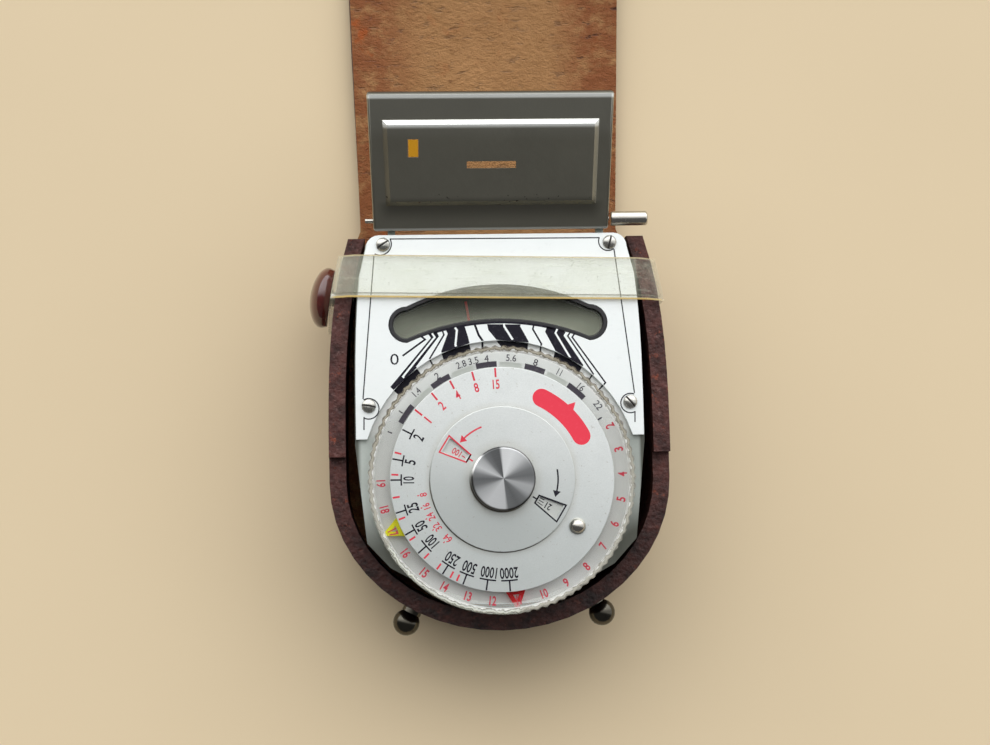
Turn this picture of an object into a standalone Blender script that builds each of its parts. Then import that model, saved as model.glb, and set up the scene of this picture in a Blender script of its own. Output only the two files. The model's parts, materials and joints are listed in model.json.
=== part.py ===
"""Selenium light meter with a calculator dial, lying on its back in its open leather case.

Lengths are in metres. +Z points up out of the dial, +Y towards the cell and its lid, and +X to
the right. The origin is where the axis of the dial meets the surface that the case lies on.
"""

import math

import bmesh
import bpy
from mathutils import Matrix, Vector

# Clearances
SEAT = 0.0003          # between pieces that rest on each other or are cut by each other
RUN = 0.0001           # around a shaft that turns in its hole
SLIP = 0.0002          # between discs that slide over each other
OVERRUN = 0.001        # how far a cutter runs past what it cuts
MERGE = 0.000001       # welding distance

# Roundness, in steps for a full turn
FINE_STEPS = 60
ROUND_STEPS = 28
SMALL_STEPS = 12

# Leather case
LEATHER = 0.0020
WALL_LEATHER = 0.0032
CASE_SIDE_GAP = 0.0018
CASE_FOOT_GAP = 0.0019
MOUTH_INSET = 0.0006
CASE_TAPER = 0.0042
TAPER_POWER = 3.5
CASE_SIDE_STEPS = 9
CASE_BEND_STEPS = 12
WALL_INSET = 0.0004
WALL_STEP = 0.0021
WALL_NOTCH_Y = 0.0048

# Flap of the case
FOLD_REACH = 0.0050
FLAP_LENGTH = 0.1120
FLAP_FOLD_INSET = 0.0063
FLAP_END_INSET = 0.0035
FLAP_END_ROUND = 0.0220
FLAP_HOLE_RADIUS = 0.0017
FLAP_HOLE_INSET = 0.0065
FLAP_HOLE_SHARE = 0.6414
FLAP_FLAT = 0.0060
FLAP_RISE = 0.0300
FLAP_WAVE = 0.00025
FLAP_WAVE_LENGTH = 0.0565
FLAP_CURL = 0.0009
FLAP_CURL_POWER = 5.0
FLAP_LINE_SHARES = (-0.9, -0.7, -0.4, 0.0, 0.4, 0.7, 0.9)
FLAP_LINES = 14

# Ball studs that the flap closes on
STUD_ANGLE = 57.0
STUD_TURN = 1.8
STUD_DROP = 0.0118
BALL_RADIUS = 0.0026
BALL_OFFSET = 0.0031
STUD_COLLAR_RADIUS = 0.0019
STUD_NECK_SHARE = 0.7
STUD_COLLAR_HEIGHT = 0.0008
STUD_SHANK_RADIUS = 0.0010
STUD_FOOT_RADIUS = 0.0024
STUD_FOOT_THICK = 0.0006

# Clear holding band, with its snap and its rivet
BAND_THICK = 0.0006
BAND_WIDTH = 0.0081
BAND_INSET = 0.0086
BAND_SLOPE_SHARE = 0.022
BAND_LEG = 0.0169
BAND_SHOULDER = 0.0004
BAND_TAB_RADIUS = 0.0068
SNAP_SHIFT = 0.0022
SNAP_DROP = 0.0114
SNAP_CAP_RADIUS = 0.0060
SNAP_CAP_THICK = 0.0042
SNAP_HEM_SHARE = 0.93
SNAP_SKIRT = 0.0012
SNAP_SHANK_RADIUS = 0.0014
SNAP_SHANK_REACH = 0.0016
SNAP_FOOT_RADIUS = 0.0032
SNAP_FOOT_THICK = 0.0006
RIVET_DROP = 0.0124
RIVET_HEAD_RADIUS = 0.0021
RIVET_HEAD_THICK = 0.0009
RIVET_SHANK_RADIUS = 0.0009
RIVET_FOOT_THICK = 0.0005

# Meter housing
REAR_THICK = 0.0012
HOUSING_DEPTH = 0.0230
HOUSING_WALL = 0.0014
DECK_THICK = 0.0012
METER_HALF_WIDTH = 0.0275
METER_HEAD = 0.0213
METER_TAPER = 0.0024
METER_WAIST_Y = 0.0070
METER_CORNER = 0.0027
METER_SIDE_STEPS = 7
METER_CORNER_STEPS = 5
METER_HEEL_SHARES = (0.92727, 0.49145)
METER_CHAMFER_SHARES = (0.77091, 0.69231)
METER_FOOT_SHARES = (0.36364, 0.95727)
METER_FOOT_INSET = 0.0023
METER_BEND_STEPS = 5
BOSS_RADIUS = 0.0022
BOSS_INSET = 0.0060
BOSS_DROP = 0.0056
BOSS_BOTTOM_INSET = 0.0030
REAR_SCREW_RADIUS = 0.0008
REAR_HEAD_RADIUS = 0.0015
REAR_HEAD_THICK = 0.0006
REAR_SCREW_LENGTH = 0.0070

# Face plate and its screws
PLATE_THICK = 0.0009
PLATE_EDGE = 0.0002
PLATE_DIAL_GAP = 0.0007
PLATE_TAB_Y = 0.0080
PLATE_SCREW_INSET_X = 0.00345
PLATE_SCREW_INSET_Y = 0.0020
PLATE_LOW_SCREW_INSET = 0.0027
PLATE_LOW_SCREW_Y = 0.0143
SCREW_HEAD_RADIUS = 0.00135
SCREW_HEAD_THICK = 0.0008
SCREW_SHANK_RADIUS = 0.0006
SCREW_GRIP = 0.0007
SCREW_SLOT_WIDTH = 0.00032
SCREW_SLOT_DEPTH = 0.0004
SCREW_SLOT_ANGLES = (35.0, 75.0, -10.0, 130.0)

# Needle window
WINDOW_RISE = 0.0048
WINDOW_HEIGHT = 0.0059
WINDOW_ARC_SHARES = (1.41818, 1.59273)
WINDOW_END_INSET = 0.0101
WINDOW_STEPS = 16
WINDOW_END_STEPS = 14
BEZEL_WIDTH = 0.0006
BEZEL_GAP = 0.0001
GLASS_THICK = 0.0008
GLASS_DEPTH = 0.0006
TRAY_FLOOR_THICK = 0.0005
TRAY_WALL = 0.0006
TRAY_DEPTH = 0.0077

# Selenium cell
CELL_OPENING_INSET = 0.0018
CELL_OPENING_SILL = 0.0022
CELL_OPENING_LINTEL = 0.0022
CELL_WINDOW_THICK = 0.0014
CELL_WINDOW_PROUD = 0.0002
CELL_SIDE_GAP = 0.0008
CELL_FRAME_THICK = 0.0010
CELL_FRAME_BORDER = 0.0030
CELL_INSET = 0.0016
CELL_THICK = 0.0007
CELL_BORDER = 0.0012
BACKING_THICK = 0.0008
RAIL_OVERLAP = 0.0013
RAIL_THICK = 0.0012
CONTACT_SHARE = 0.75
CONTACT_WIDTH = 0.0030
CONTACT_HEIGHT = 0.0060
CONTACT_THICK = 0.0004
CONTACT_FOOT = 0.0022

# Moving-coil movement
BASE_SHARE = 0.43636
BASE_THICK = 0.0010
BASE_RIM_INNER_SHARE = 0.75
BASE_RIM_SHARE = 0.12609
MAGNET_BORE = 0.0066
MAGNET_HEIGHT_SHARE = 0.34783
MAGNET_GAP = 0.0040
CORE_RADIUS = 0.0045
CORE_INSET = 0.0004
CORE_BAR_WIDTH = 0.0016
CORE_BAR_HEIGHT = 0.0018
COIL_HALF_WIDTH = 0.0062
COIL_LIMB = 0.0010
COIL_THICK = 0.0015
COIL_CLEARANCE = 0.0006
PIVOT_RADIUS = 0.00035
PIVOT_COLLAR = 0.0007
JEWEL_RADIUS = 0.0011
JEWEL_CUP = 0.0007
HAIRSPRING_TURNS = 4
HAIRSPRING_INNER = 0.0008
HAIRSPRING_OUTER = 0.0040
HAIRSPRING_WIRE = 0.00012
HAIRSPRING_LIFT = 0.0009
NEEDLE_LIFT = 0.0013
NEEDLE_THICK = 0.0003
NEEDLE_TIP_INSET = 0.0010
NEEDLE_HUB = 0.0010
NEEDLE_ROOT_HALF = 0.00040
NEEDLE_TIP_HALF = 0.00024
NEEDLE_TAIL = 0.0065
NEEDLE_TAIL_HALF = 0.0009
NEEDLE_READING = 9.4
BRIDGE_LIFT = 0.0012
BRIDGE_THICK = 0.0009
BRIDGE_HALF_WIDTH = 0.0022
BRIDGE_PILLAR_RADIUS = 0.0012
LEVER_THICK = 0.0005
LEVER_HUB = 0.0026
LEVER_HALF_WIDTH = 0.0011
ZERO_SCREW_INSET = 0.0050
ZERO_HEAD_RADIUS = 0.0017
ZERO_FLANGE_RADIUS = 0.0022
ZERO_FLANGE_THICK = 0.0004
ZERO_PIN_RADIUS = 0.0004
ZERO_PIN_OFFSET = 0.0009
ZERO_SLOT_WIDTH = 0.0004
ZERO_SLOT_DEPTH = 0.0005
RESISTOR_RADIUS = 0.0012
RESISTOR_LENGTH = 0.0065
RESISTOR_INSET = 0.0115
RESISTOR_Y = 0.0180
WIRE_RADIUS = 0.00035

# Calculator dial, from the deck up
POST_RADIUS = 0.0022
POST_FLANGE_RADIUS = 0.0046
POST_FLANGE_THICK = 0.0008
WASHER_RADIUS = 0.0080
WASHER_THICK = 0.0003
DIAL_SIDE_INSET = 0.0018
DIAL_THICK = 0.0015
DIAL_RIM_HEIGHT = 0.0009
DIAL_RIM_WIDTH = 0.0017
DIAL_RIM_SLOPE = 0.0006
SCALLOP_COUNT = 45
SCALLOP_DEPTH = 0.0005
SCALLOP_STEPS = 6
SMOOTH_FROM = 205.0
SMOOTH_TO = 277.0
POINTER_THICK = 0.0003
POINTER_HUB = 0.0070
POINTER_ARM_HALF = 0.0014
POINTER_BASE_INSET = 0.0003
POINTER_TIP_INSET = 0.0008
POINTER_HALF_WIDTH = 0.0020
POINTER_HOLE_SHARE = 0.30
POINTER_ANGLES = (204.0, 276.0)
SHUTTER_SHARE = 0.8210
SHUTTER_THICK = 0.0006
HANDLE_SHARE = 0.40
HANDLE_ANGLE = -33.0
HANDLE_HEAD_RADIUS = 0.0016
HANDLE_HEAD_HEIGHT = 0.0016
HANDLE_STEM_RADIUS = 0.0007
INDEX_SHARE = 0.6446
INDEX_THICK = 0.0006
INDEX_WINDOW_SHARES = (0.574, 0.912)
INDEX_WINDOW_ANGLES = (148.0, -31.5)
INDEX_WINDOW_HALF_ANGLE = 6.8
KNOB_RADIUS = 0.0060
KNOB_HEIGHT = 0.0028
KNOB_EDGE = 0.0003
KNOB_STEM_RADIUS = 0.0036
KNOB_CROWN = 0.0010

# Cell lid and its hinge
HINGE_REACH = 0.0026
HINGE_DROP = 0.0004
HINGE_TILT = 17.5
PIN_RADIUS = 0.00045
PIN_NUB = 0.0016
EYE_WALL = 0.0005
LUG_INSET = 0.0024
LUG_THICK = 0.0014
LUG_BAR = 0.0016
LID_INSET = 0.0027
LID_SHIFT = 0.0010
LID_LENGTH = 0.0244
LID_SKIN = 0.0006
LID_FLANGE = 0.0022
LID_ROUND = 0.0005
LID_FLARE = 0.0009
PANEL_SIDE = 0.0022
PANEL_NEAR = 0.0045
PANEL_FAR = 0.0048
PANEL_RISE = 0.0008
PANEL_BEVEL = 0.0012
SLOT_LENGTH = 0.0093
SLOT_WIDTH = 0.0013
SLOT_Y = 0.0108
MARK_X = 0.0147
MARK_Y = 0.0140
MARK_WIDTH = 0.0020
MARK_LENGTH = 0.0034
HINGE_KNOB_RADIUS = 0.00138
HINGE_KNOB_LENGTH = 0.0071
HINGE_KNOB_ROUND = 0.0003

# Places in plan, worked out from the middle outwards
METER_TOP_HALF = METER_HALF_WIDTH - METER_TAPER
DIAL_RADIUS = METER_HALF_WIDTH - DIAL_SIDE_INSET
DIAL_RIM_INNER = DIAL_RADIUS - DIAL_RIM_WIDTH
SHUTTER_RADIUS = DIAL_RADIUS * SHUTTER_SHARE
INDEX_RADIUS = SHUTTER_RADIUS * INDEX_SHARE
INDEX_WINDOW_INNER = INDEX_RADIUS * INDEX_WINDOW_SHARES[0]
INDEX_WINDOW_OUTER = INDEX_RADIUS * INDEX_WINDOW_SHARES[1]
HANDLE_RADIUS = INDEX_RADIUS + (SHUTTER_RADIUS - INDEX_RADIUS) * HANDLE_SHARE
POINTER_BASE_RADIUS = SHUTTER_RADIUS - POINTER_BASE_INSET
POINTER_TIP_RADIUS = DIAL_RADIUS - POINTER_TIP_INSET
METER_TOP_Y = DIAL_RADIUS + METER_HEAD
METER_BOTTOM = DIAL_RADIUS - METER_FOOT_INSET
WINDOW_BOTTOM_Y = DIAL_RADIUS + WINDOW_RISE
WINDOW_TOP_Y = WINDOW_BOTTOM_Y + WINDOW_HEIGHT
WINDOW_END_X = METER_HALF_WIDTH - WINDOW_END_INSET
WINDOW_UPPER_RADIUS = METER_HALF_WIDTH * WINDOW_ARC_SHARES[0]
WINDOW_LOWER_RADIUS = METER_HALF_WIDTH * WINDOW_ARC_SHARES[1]
WINDOW_ROOF_FALL = WINDOW_UPPER_RADIUS - math.sqrt(WINDOW_UPPER_RADIUS**2 - WINDOW_END_X**2)
WINDOW_FLOOR_FALL = WINDOW_LOWER_RADIUS - math.sqrt(WINDOW_LOWER_RADIUS**2 - WINDOW_END_X**2)
WINDOW_END_Y = (WINDOW_TOP_Y + WINDOW_BOTTOM_Y - WINDOW_ROOF_FALL - WINDOW_FLOOR_FALL) / 2
NEEDLE_REACH = WINDOW_TOP_Y - NEEDLE_TIP_INSET
CASE_HALF_WIDTH = METER_HALF_WIDTH + CASE_SIDE_GAP + WALL_LEATHER
CASE_BOTTOM = METER_BOTTOM + CASE_FOOT_GAP + WALL_LEATHER
CASE_MOUTH_Y = METER_TOP_Y - MOUTH_INSET
FOLD_Y = METER_TOP_Y + FOLD_REACH
FLAP_FOLD_HALF_WIDTH = CASE_HALF_WIDTH - FLAP_FOLD_INSET
FLAP_END_HALF_WIDTH = CASE_HALF_WIDTH - FLAP_END_INSET
BAND_Y = METER_TOP_Y - BAND_INSET
SNAP_Y = BAND_Y - SNAP_SHIFT
PLATE_SCREW_X = METER_TOP_HALF - PLATE_SCREW_INSET_X
PLATE_SCREW_Y = METER_TOP_Y - PLATE_SCREW_INSET_Y
PLATE_LOW_SCREW_X = METER_HALF_WIDTH - PLATE_LOW_SCREW_INSET
BOSS_X = METER_HALF_WIDTH - BOSS_INSET
BOSS_BOTTOM_Y = METER_BOTTOM - BOSS_BOTTOM_INSET
BOSS_Y = WINDOW_END_Y - BOSS_DROP
BASE_RADIUS = METER_HALF_WIDTH * BASE_SHARE
ZERO_SCREW_Y = BOSS_BOTTOM_Y - ZERO_SCREW_INSET
BASE_RIM_INNER = BASE_RADIUS * BASE_RIM_INNER_SHARE
RESISTOR_X = METER_HALF_WIDTH - RESISTOR_INSET
MAGNET_RADIUS = BASE_RADIUS
BRIDGE_PILLAR_X = (MAGNET_BORE + MAGNET_RADIUS) / 2
CELL_FRAME_HALF = METER_TOP_HALF - METER_CORNER - CELL_SIDE_GAP
CELL_HALF_WIDTH = CELL_FRAME_HALF - CELL_INSET
CONTACT_X = CELL_HALF_WIDTH * CONTACT_SHARE
CELL_OPENING_HALF = CELL_FRAME_HALF - CELL_OPENING_INSET
RAIL_INNER_X = CELL_FRAME_HALF - RAIL_OVERLAP
HINGE_Y = METER_TOP_Y + HINGE_REACH
LID_HALF_WIDTH = METER_TOP_HALF - LID_INSET
LUG_X = LID_HALF_WIDTH - LUG_INSET

# Levels, worked out from the bottom up
REAR_LOW = LEATHER + SEAT
REAR_TOP = REAR_LOW + REAR_THICK
HOUSING_LOW = REAR_TOP + SEAT
DECK_TOP = HOUSING_LOW + HOUSING_DEPTH
DECK_LOW = DECK_TOP - DECK_THICK
PLATE_LOW = DECK_TOP + SEAT
PLATE_TOP = PLATE_LOW + PLATE_THICK
WASHER_LOW = DECK_TOP + SLIP
POINTER_LOW = WASHER_LOW + WASHER_THICK + SLIP
DIAL_LOW = POINTER_LOW + POINTER_THICK + SLIP
DIAL_FLOOR = DIAL_LOW + DIAL_THICK
DIAL_TOP = DIAL_FLOOR + DIAL_RIM_HEIGHT
SHUTTER_LOW = DIAL_FLOOR + SLIP
SHUTTER_TOP = SHUTTER_LOW + SHUTTER_THICK
INDEX_LOW = SHUTTER_TOP + SLIP
INDEX_TOP = INDEX_LOW + INDEX_THICK
KNOB_LOW = INDEX_TOP + SLIP
KNOB_TOP = KNOB_LOW + KNOB_HEIGHT
BASE_LOW = REAR_TOP + SEAT
BASE_TOP = BASE_LOW + BASE_THICK
BASE_RIM_HEIGHT = HOUSING_DEPTH * BASE_RIM_SHARE
MAGNET_LOW = BASE_TOP + BASE_RIM_HEIGHT + SEAT
MAGNET_TOP = MAGNET_LOW + HOUSING_DEPTH * MAGNET_HEIGHT_SHARE
CORE_LOW = MAGNET_LOW + CORE_INSET
CORE_TOP = MAGNET_TOP - CORE_INSET
COIL_LOW = CORE_LOW - COIL_CLEARANCE - COIL_LIMB
COIL_TOP = CORE_TOP + COIL_CLEARANCE + COIL_LIMB
HAIRSPRING_Z = COIL_TOP + HAIRSPRING_LIFT
NEEDLE_LOW = COIL_TOP + HAIRSPRING_LIFT + NEEDLE_LIFT
BRIDGE_LOW = NEEDLE_LOW + NEEDLE_THICK + BRIDGE_LIFT
BRIDGE_TOP = BRIDGE_LOW + BRIDGE_THICK
LEVER_LOW = BASE_TOP + SEAT
LEVER_TOP = LEVER_LOW + LEVER_THICK
TRAY_LOW = DECK_LOW - SEAT - TRAY_DEPTH
HINGE_Z = PLATE_TOP - HINGE_DROP
CELL_OPENING_LOW = HOUSING_LOW + CELL_OPENING_SILL
CELL_OPENING_HIGH = DECK_LOW - CELL_OPENING_LINTEL
WALL_HIGH_TOP = DECK_TOP - WALL_INSET
WALL_LOW_TOP = WALL_HIGH_TOP - WALL_STEP
SNAP_HEIGHT = WALL_HIGH_TOP - SNAP_DROP
RIVET_HEIGHT = WALL_HIGH_TOP - RIVET_DROP
STUD_HEIGHT = WALL_LOW_TOP - STUD_DROP
BAND_LEG_END = WALL_HIGH_TOP - BAND_LEG

COLLECTION = bpy.data.collections.new("light_meter")
CUTTERS = bpy.data.collections.new("cutters")


def clear_scene():
    """Remove what a new file holds, and link the two collections."""
    for item in list(bpy.data.objects):
        bpy.data.objects.remove(item, do_unlink=True)
    bpy.context.scene.collection.children.link(COLLECTION)
    bpy.context.scene.collection.children.link(CUTTERS)


def finish(name, color, roughness, metallic):
    """A plain material with a colour, a roughness and a metallic value."""
    material = bpy.data.materials.get(name) or bpy.data.materials.new(name)
    material.use_nodes = True
    shader = material.node_tree.nodes["Principled BSDF"]
    shader.inputs["Base Color"].default_value = (*color, 1)
    shader.inputs["Roughness"].default_value = roughness
    shader.inputs["Metallic"].default_value = metallic
    return material


def brown_leather():
    return finish("brown_leather", (0.09, 0.035, 0.03), 0.65, 0)


def suede():
    return finish("suede", (0.43, 0.23, 0.10), 0.9, 0)


def satin_silver():
    return finish("satin_silver", (0.75, 0.79, 0.78), 0.4, 0.7)


def cast_silver():
    return finish("cast_silver", (0.55, 0.58, 0.57), 0.5, 0.6)


def bright_steel():
    return finish("bright_steel", (0.62, 0.62, 0.60), 0.25, 1)


def dark_chrome():
    return finish("dark_chrome", (0.30, 0.30, 0.29), 0.22, 1)


def brass():
    return finish("brass", (0.72, 0.52, 0.22), 0.35, 1)


def copper():
    return finish("copper", (0.72, 0.32, 0.16), 0.4, 1)


def black_paint():
    return finish("black_paint", (0.02, 0.02, 0.02), 0.5, 0)


def link_part(item, material, parent=None):
    """Put a finished object in the part's collection, under an empty if it has one."""
    COLLECTION.objects.link(item)
    item.data.materials.clear()
    item.data.materials.append(material)
    if parent:
        item.parent = parent
    return item


def axis_empty(name, location, rotation=(0, 0, 0)):
    """An empty on the axis of a joint, which carries the pieces that turn about it."""
    empty = bpy.data.objects.new(name, None)
    COLLECTION.objects.link(empty)
    empty.location = location
    empty.rotation_euler = rotation
    return empty


def cleaned(mesh):
    """Weld a mesh, turn its faces out and shade it smooth between its sharp edges."""
    shape = bmesh.new()
    shape.from_mesh(mesh)
    bmesh.ops.remove_doubles(shape, verts=shape.verts, dist=MERGE)
    bmesh.ops.recalc_face_normals(shape, faces=shape.faces)
    shape.to_mesh(mesh)
    shape.free()
    mesh.shade_smooth()
    mesh.set_sharp_from_angle(angle=math.radians(35))
    return mesh


def mesh_of(item):
    """The welded mesh of a curve or of an object with modifiers, which is then removed."""
    bpy.context.scene.collection.objects.link(item)
    bpy.context.view_layer.update()
    evaluated = item.evaluated_get(bpy.context.evaluated_depsgraph_get())
    mesh = bpy.data.meshes.new_from_object(evaluated)
    bpy.data.objects.remove(item, do_unlink=True)
    return cleaned(mesh)


def prism(name, outline, low, high, holes=()):
    """A flat outline with holes, made as thick as the way from low to high."""
    curve = bpy.data.curves.new(name, "CURVE")
    curve.dimensions = "2D"
    curve.fill_mode = "BOTH"
    curve.extrude = (high - low) / 2
    for loop in (outline, *holes):
        spline = curve.splines.new("POLY")
        spline.points.add(len(loop) - 1)
        for point, (x, y) in zip(spline.points, loop):
            point.co = (x, y, 0, 1)
        spline.use_cyclic_u = True
    mesh = mesh_of(bpy.data.objects.new(name, curve))
    mesh.transform(Matrix.Translation((0, 0, (low + high) / 2)))
    mesh.name = name
    return bpy.data.objects.new(name, mesh)


def turned(name, profile, steps=ROUND_STEPS, ring=False):
    """A profile of (radius, height) points, from top to bottom, turned about the Z axis."""
    mesh = bpy.data.meshes.new(name)
    edges = [(index, index + 1) for index in range(len(profile) - 1)]
    if ring:
        edges.append((len(profile) - 1, 0))
    mesh.from_pydata([(radius, 0, height) for radius, height in profile], edges, [])
    item = bpy.data.objects.new(name, mesh)
    screw = item.modifiers.new("turn", "SCREW")
    screw.steps = steps
    screw.render_steps = steps
    screw.use_merge_vertices = True
    screw.merge_threshold = MERGE
    mesh = mesh_of(item)
    mesh.name = name
    return bpy.data.objects.new(name, mesh)


def block(name, low, high):
    """A box between two corners."""
    shape = bmesh.new()
    bmesh.ops.create_cube(shape, size=1)
    size = [top - bottom for bottom, top in zip(low, high)]
    middle = [(top + bottom) / 2 for bottom, top in zip(low, high)]
    bmesh.ops.scale(shape, vec=size, verts=shape.verts)
    bmesh.ops.translate(shape, vec=middle, verts=shape.verts)
    mesh = bpy.data.meshes.new(name)
    shape.to_mesh(mesh)
    shape.free()
    return bpy.data.objects.new(name, mesh)


def tube(name, route, radius, resolution):
    """A wire of one thickness along a route of points."""
    curve = bpy.data.curves.new(name, "CURVE")
    curve.dimensions = "3D"
    curve.bevel_depth = radius
    curve.bevel_resolution = resolution
    curve.use_fill_caps = True
    spline = curve.splines.new("POLY")
    spline.points.add(len(route) - 1)
    for point, place in zip(spline.points, route):
        point.co = (*place, 1)
    mesh = mesh_of(bpy.data.objects.new(name, curve))
    mesh.name = name
    return bpy.data.objects.new(name, mesh)


def placed(item, matrix):
    """Move an object's mesh by a matrix, leaving the object at its origin."""
    item.data.transform(matrix)
    return item


def combine(item, tool, operation="DIFFERENCE"):
    """Cut a tool out of an object, or join it on, with the tool kept as a wire guide."""
    CUTTERS.objects.link(tool)
    tool.name = f"{item.name}_{operation.lower()}"
    tool.hide_render = True
    tool.display_type = "WIRE"
    tool.parent = item.parent
    boolean = item.modifiers.new(operation.lower(), "BOOLEAN")
    boolean.operation = operation
    boolean.object = tool
    return item


def arc(center, radius, start, end, steps):
    """Points along an arc, with its angles in degrees from the X axis."""
    points = []
    for step in range(steps + 1):
        angle = math.radians(start + (end - start) * step / steps)
        points.append((center[0] + radius * math.cos(angle), center[1] + radius * math.sin(angle)))
    return points


def circle(center, radius, steps=ROUND_STEPS):
    """The points of a circle."""
    return arc(center, radius, 0, 360, steps)[:-1]


def polar(radius, degrees):
    """A point in the plane by its radius and its angle from the X axis."""
    angle = math.radians(degrees)
    return (radius * math.cos(angle), radius * math.sin(angle))


def mirrored(side):
    """Close a right-hand side, from top to bottom, with its mirror image."""
    return side + [(-x, y) for x, y in reversed(side) if x > MERGE]


def box_outline(low, high):
    """The four corners of a rectangle."""
    return [low, (high[0], low[1]), high, (low[0], high[1])]


ALONG_X = Matrix(((0, 0, 1, 0), (1, 0, 0, 0), (0, 1, 0, 0), (0, 0, 0, 1)))
ALONG_Y = Matrix(((1, 0, 0, 0), (0, 0, -1, 0), (0, 1, 0, 0), (0, 0, 0, 1)))


def facing(place, direction):
    """The matrix that sets a piece on a place, with its Z axis along a direction."""
    turn = Vector(direction).to_track_quat("Z", "Y").to_matrix().to_4x4()
    return Matrix.Translation(place) @ turn


def case_half_width(y):
    """Half the width of the case beside the dial, which narrows towards the mouth."""
    return CASE_HALF_WIDTH - CASE_TAPER * (max(y, 0) / CASE_MOUTH_Y) ** TAPER_POWER


def case_side(inset, top):
    """The right side of the case from its mouth to the middle of its bottom."""
    points = []
    for step in range(CASE_SIDE_STEPS):
        y = top * (1 - step / CASE_SIDE_STEPS)
        points.append((case_half_width(y) - inset, y))
    for step in range(CASE_BEND_STEPS + 1):
        angle = math.radians(90) * step / CASE_BEND_STEPS
        across = (CASE_HALF_WIDTH - inset) * math.cos(angle)
        points.append((across, -(CASE_BOTTOM - inset) * math.sin(angle)))
    return points


def meter_half_width(y):
    """Half the width of the meter above its waist, where it narrows towards the cell."""
    share = max(y - METER_WAIST_Y, 0) / (METER_TOP_Y - METER_WAIST_Y)
    return METER_HALF_WIDTH - METER_TAPER * share ** TAPER_POWER


def meter_upper_side(inset, bottom):
    """The right side of the meter from its top edge down to a height beside the dial."""
    corner_y = METER_TOP_Y - METER_CORNER
    center = (meter_half_width(METER_TOP_Y) - METER_CORNER, corner_y)
    points = arc(center, METER_CORNER - inset, 90, 0, METER_CORNER_STEPS)
    for step in range(1, METER_SIDE_STEPS + 1):
        y = corner_y + (bottom - corner_y) * step / METER_SIDE_STEPS
        points.append((meter_half_width(y) - inset, y))
    return points


def meter_outline(inset):
    """The whole outline of the meter, with its chamfered heels and its round bottom."""
    side = meter_upper_side(inset, METER_WAIST_Y)
    heel, chamfer, foot = [(METER_HALF_WIDTH * across, METER_BOTTOM * down)
                           for across, down in (METER_HEEL_SHARES, METER_CHAMFER_SHARES,
                                                METER_FOOT_SHARES)]
    side.append((heel[0] - inset, -heel[1]))
    side.append((chamfer[0] - inset / 2, inset - chamfer[1]))
    for step in range(METER_BEND_STEPS + 1):
        angle = math.radians(90) * step / METER_BEND_STEPS
        fall = (METER_BOTTOM - foot[1]) * math.sin(angle)
        side.append((foot[0] * math.cos(angle), inset - foot[1] - fall))
    return mirrored(side)


def window_outline(grow):
    """The crescent window between its two arcs, with round ends."""
    top = WINDOW_TOP_Y + grow
    bottom = WINDOW_BOTTOM_Y - grow
    upper = WINDOW_UPPER_RADIUS + grow
    lower = WINDOW_LOWER_RADIUS - grow
    upper_angle = math.degrees(math.asin(WINDOW_END_X / upper))
    lower_angle = math.degrees(math.asin(WINDOW_END_X / lower))
    roof = arc((0, top - upper), upper, 90 + upper_angle, 90 - upper_angle, WINDOW_STEPS)
    floor = arc((0, bottom - lower), lower, 90 - lower_angle, 90 + lower_angle, WINDOW_STEPS)
    middle = (roof[-1][1] + floor[0][1]) / 2
    reach = (roof[-1][1] - floor[0][1]) / 2
    right = arc((WINDOW_END_X, middle), reach, 90, -90, WINDOW_END_STEPS)[1:-1]
    left = arc((-WINDOW_END_X, middle), reach, 270, 90, WINDOW_END_STEPS)[1:-1]
    return roof + right + floor + left


def case_back():
    """The flat leather back, which runs on to the fold of the flap."""
    side = [(case_half_width(CASE_MOUTH_Y), FOLD_Y - SEAT / 2)] + case_side(0, CASE_MOUTH_Y)
    link_part(prism("case_back", mirrored(side), 0, LEATHER), brown_leather())


def wall_matrix(side, y, height):
    """The place on the outside of a case wall, with Z pointing straight out of the leather."""
    rise = TAPER_POWER * CASE_TAPER / CASE_MOUTH_Y * (y / CASE_MOUTH_Y) ** (TAPER_POWER - 1)
    return facing((side * case_half_width(y), y, height), (side, rise, 0))


def stud_matrix(side):
    """The place of a ball stud on the round bottom of the case wall."""
    angle = math.radians(STUD_ANGLE - side * STUD_TURN)
    place = (side * CASE_HALF_WIDTH * math.cos(angle), -CASE_BOTTOM * math.sin(angle), STUD_HEIGHT)
    out = (side * math.cos(angle) / CASE_HALF_WIDTH, -math.sin(angle) / CASE_BOTTOM, 0)
    return facing(place, out)


def wall_hole(shank, foot, foot_thick, matrix):
    """A cutter through the case wall and what lies on it, with a sink for a fastener's foot."""
    reach = WALL_LEATHER + OVERRUN + OVERRUN
    radius = shank + RUN
    sink = foot_thick + SEAT - WALL_LEATHER
    profile = [(0, reach), (radius, reach), (radius, sink), (foot + RUN, sink),
               (foot + RUN, -reach), (0, -reach)]
    return placed(turned("hole", profile, SMALL_STEPS), matrix)


def band_middle(x):
    """The middle of the band at that side distance, as the band runs a little aslant."""
    return BAND_Y - BAND_SLOPE_SHARE * x


def snap_hole():
    """The cutter for the snap's stud."""
    matrix = wall_matrix(-1, SNAP_Y, SNAP_HEIGHT)
    return wall_hole(SNAP_SHANK_RADIUS, SNAP_FOOT_RADIUS, SNAP_FOOT_THICK, matrix)


def rivet_hole():
    """The cutter for the band's rivet."""
    matrix = wall_matrix(1, band_middle(case_half_width(BAND_Y)), RIVET_HEIGHT)
    return wall_hole(RIVET_SHANK_RADIUS, RIVET_HEAD_RADIUS, RIVET_FOOT_THICK, matrix)


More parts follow.
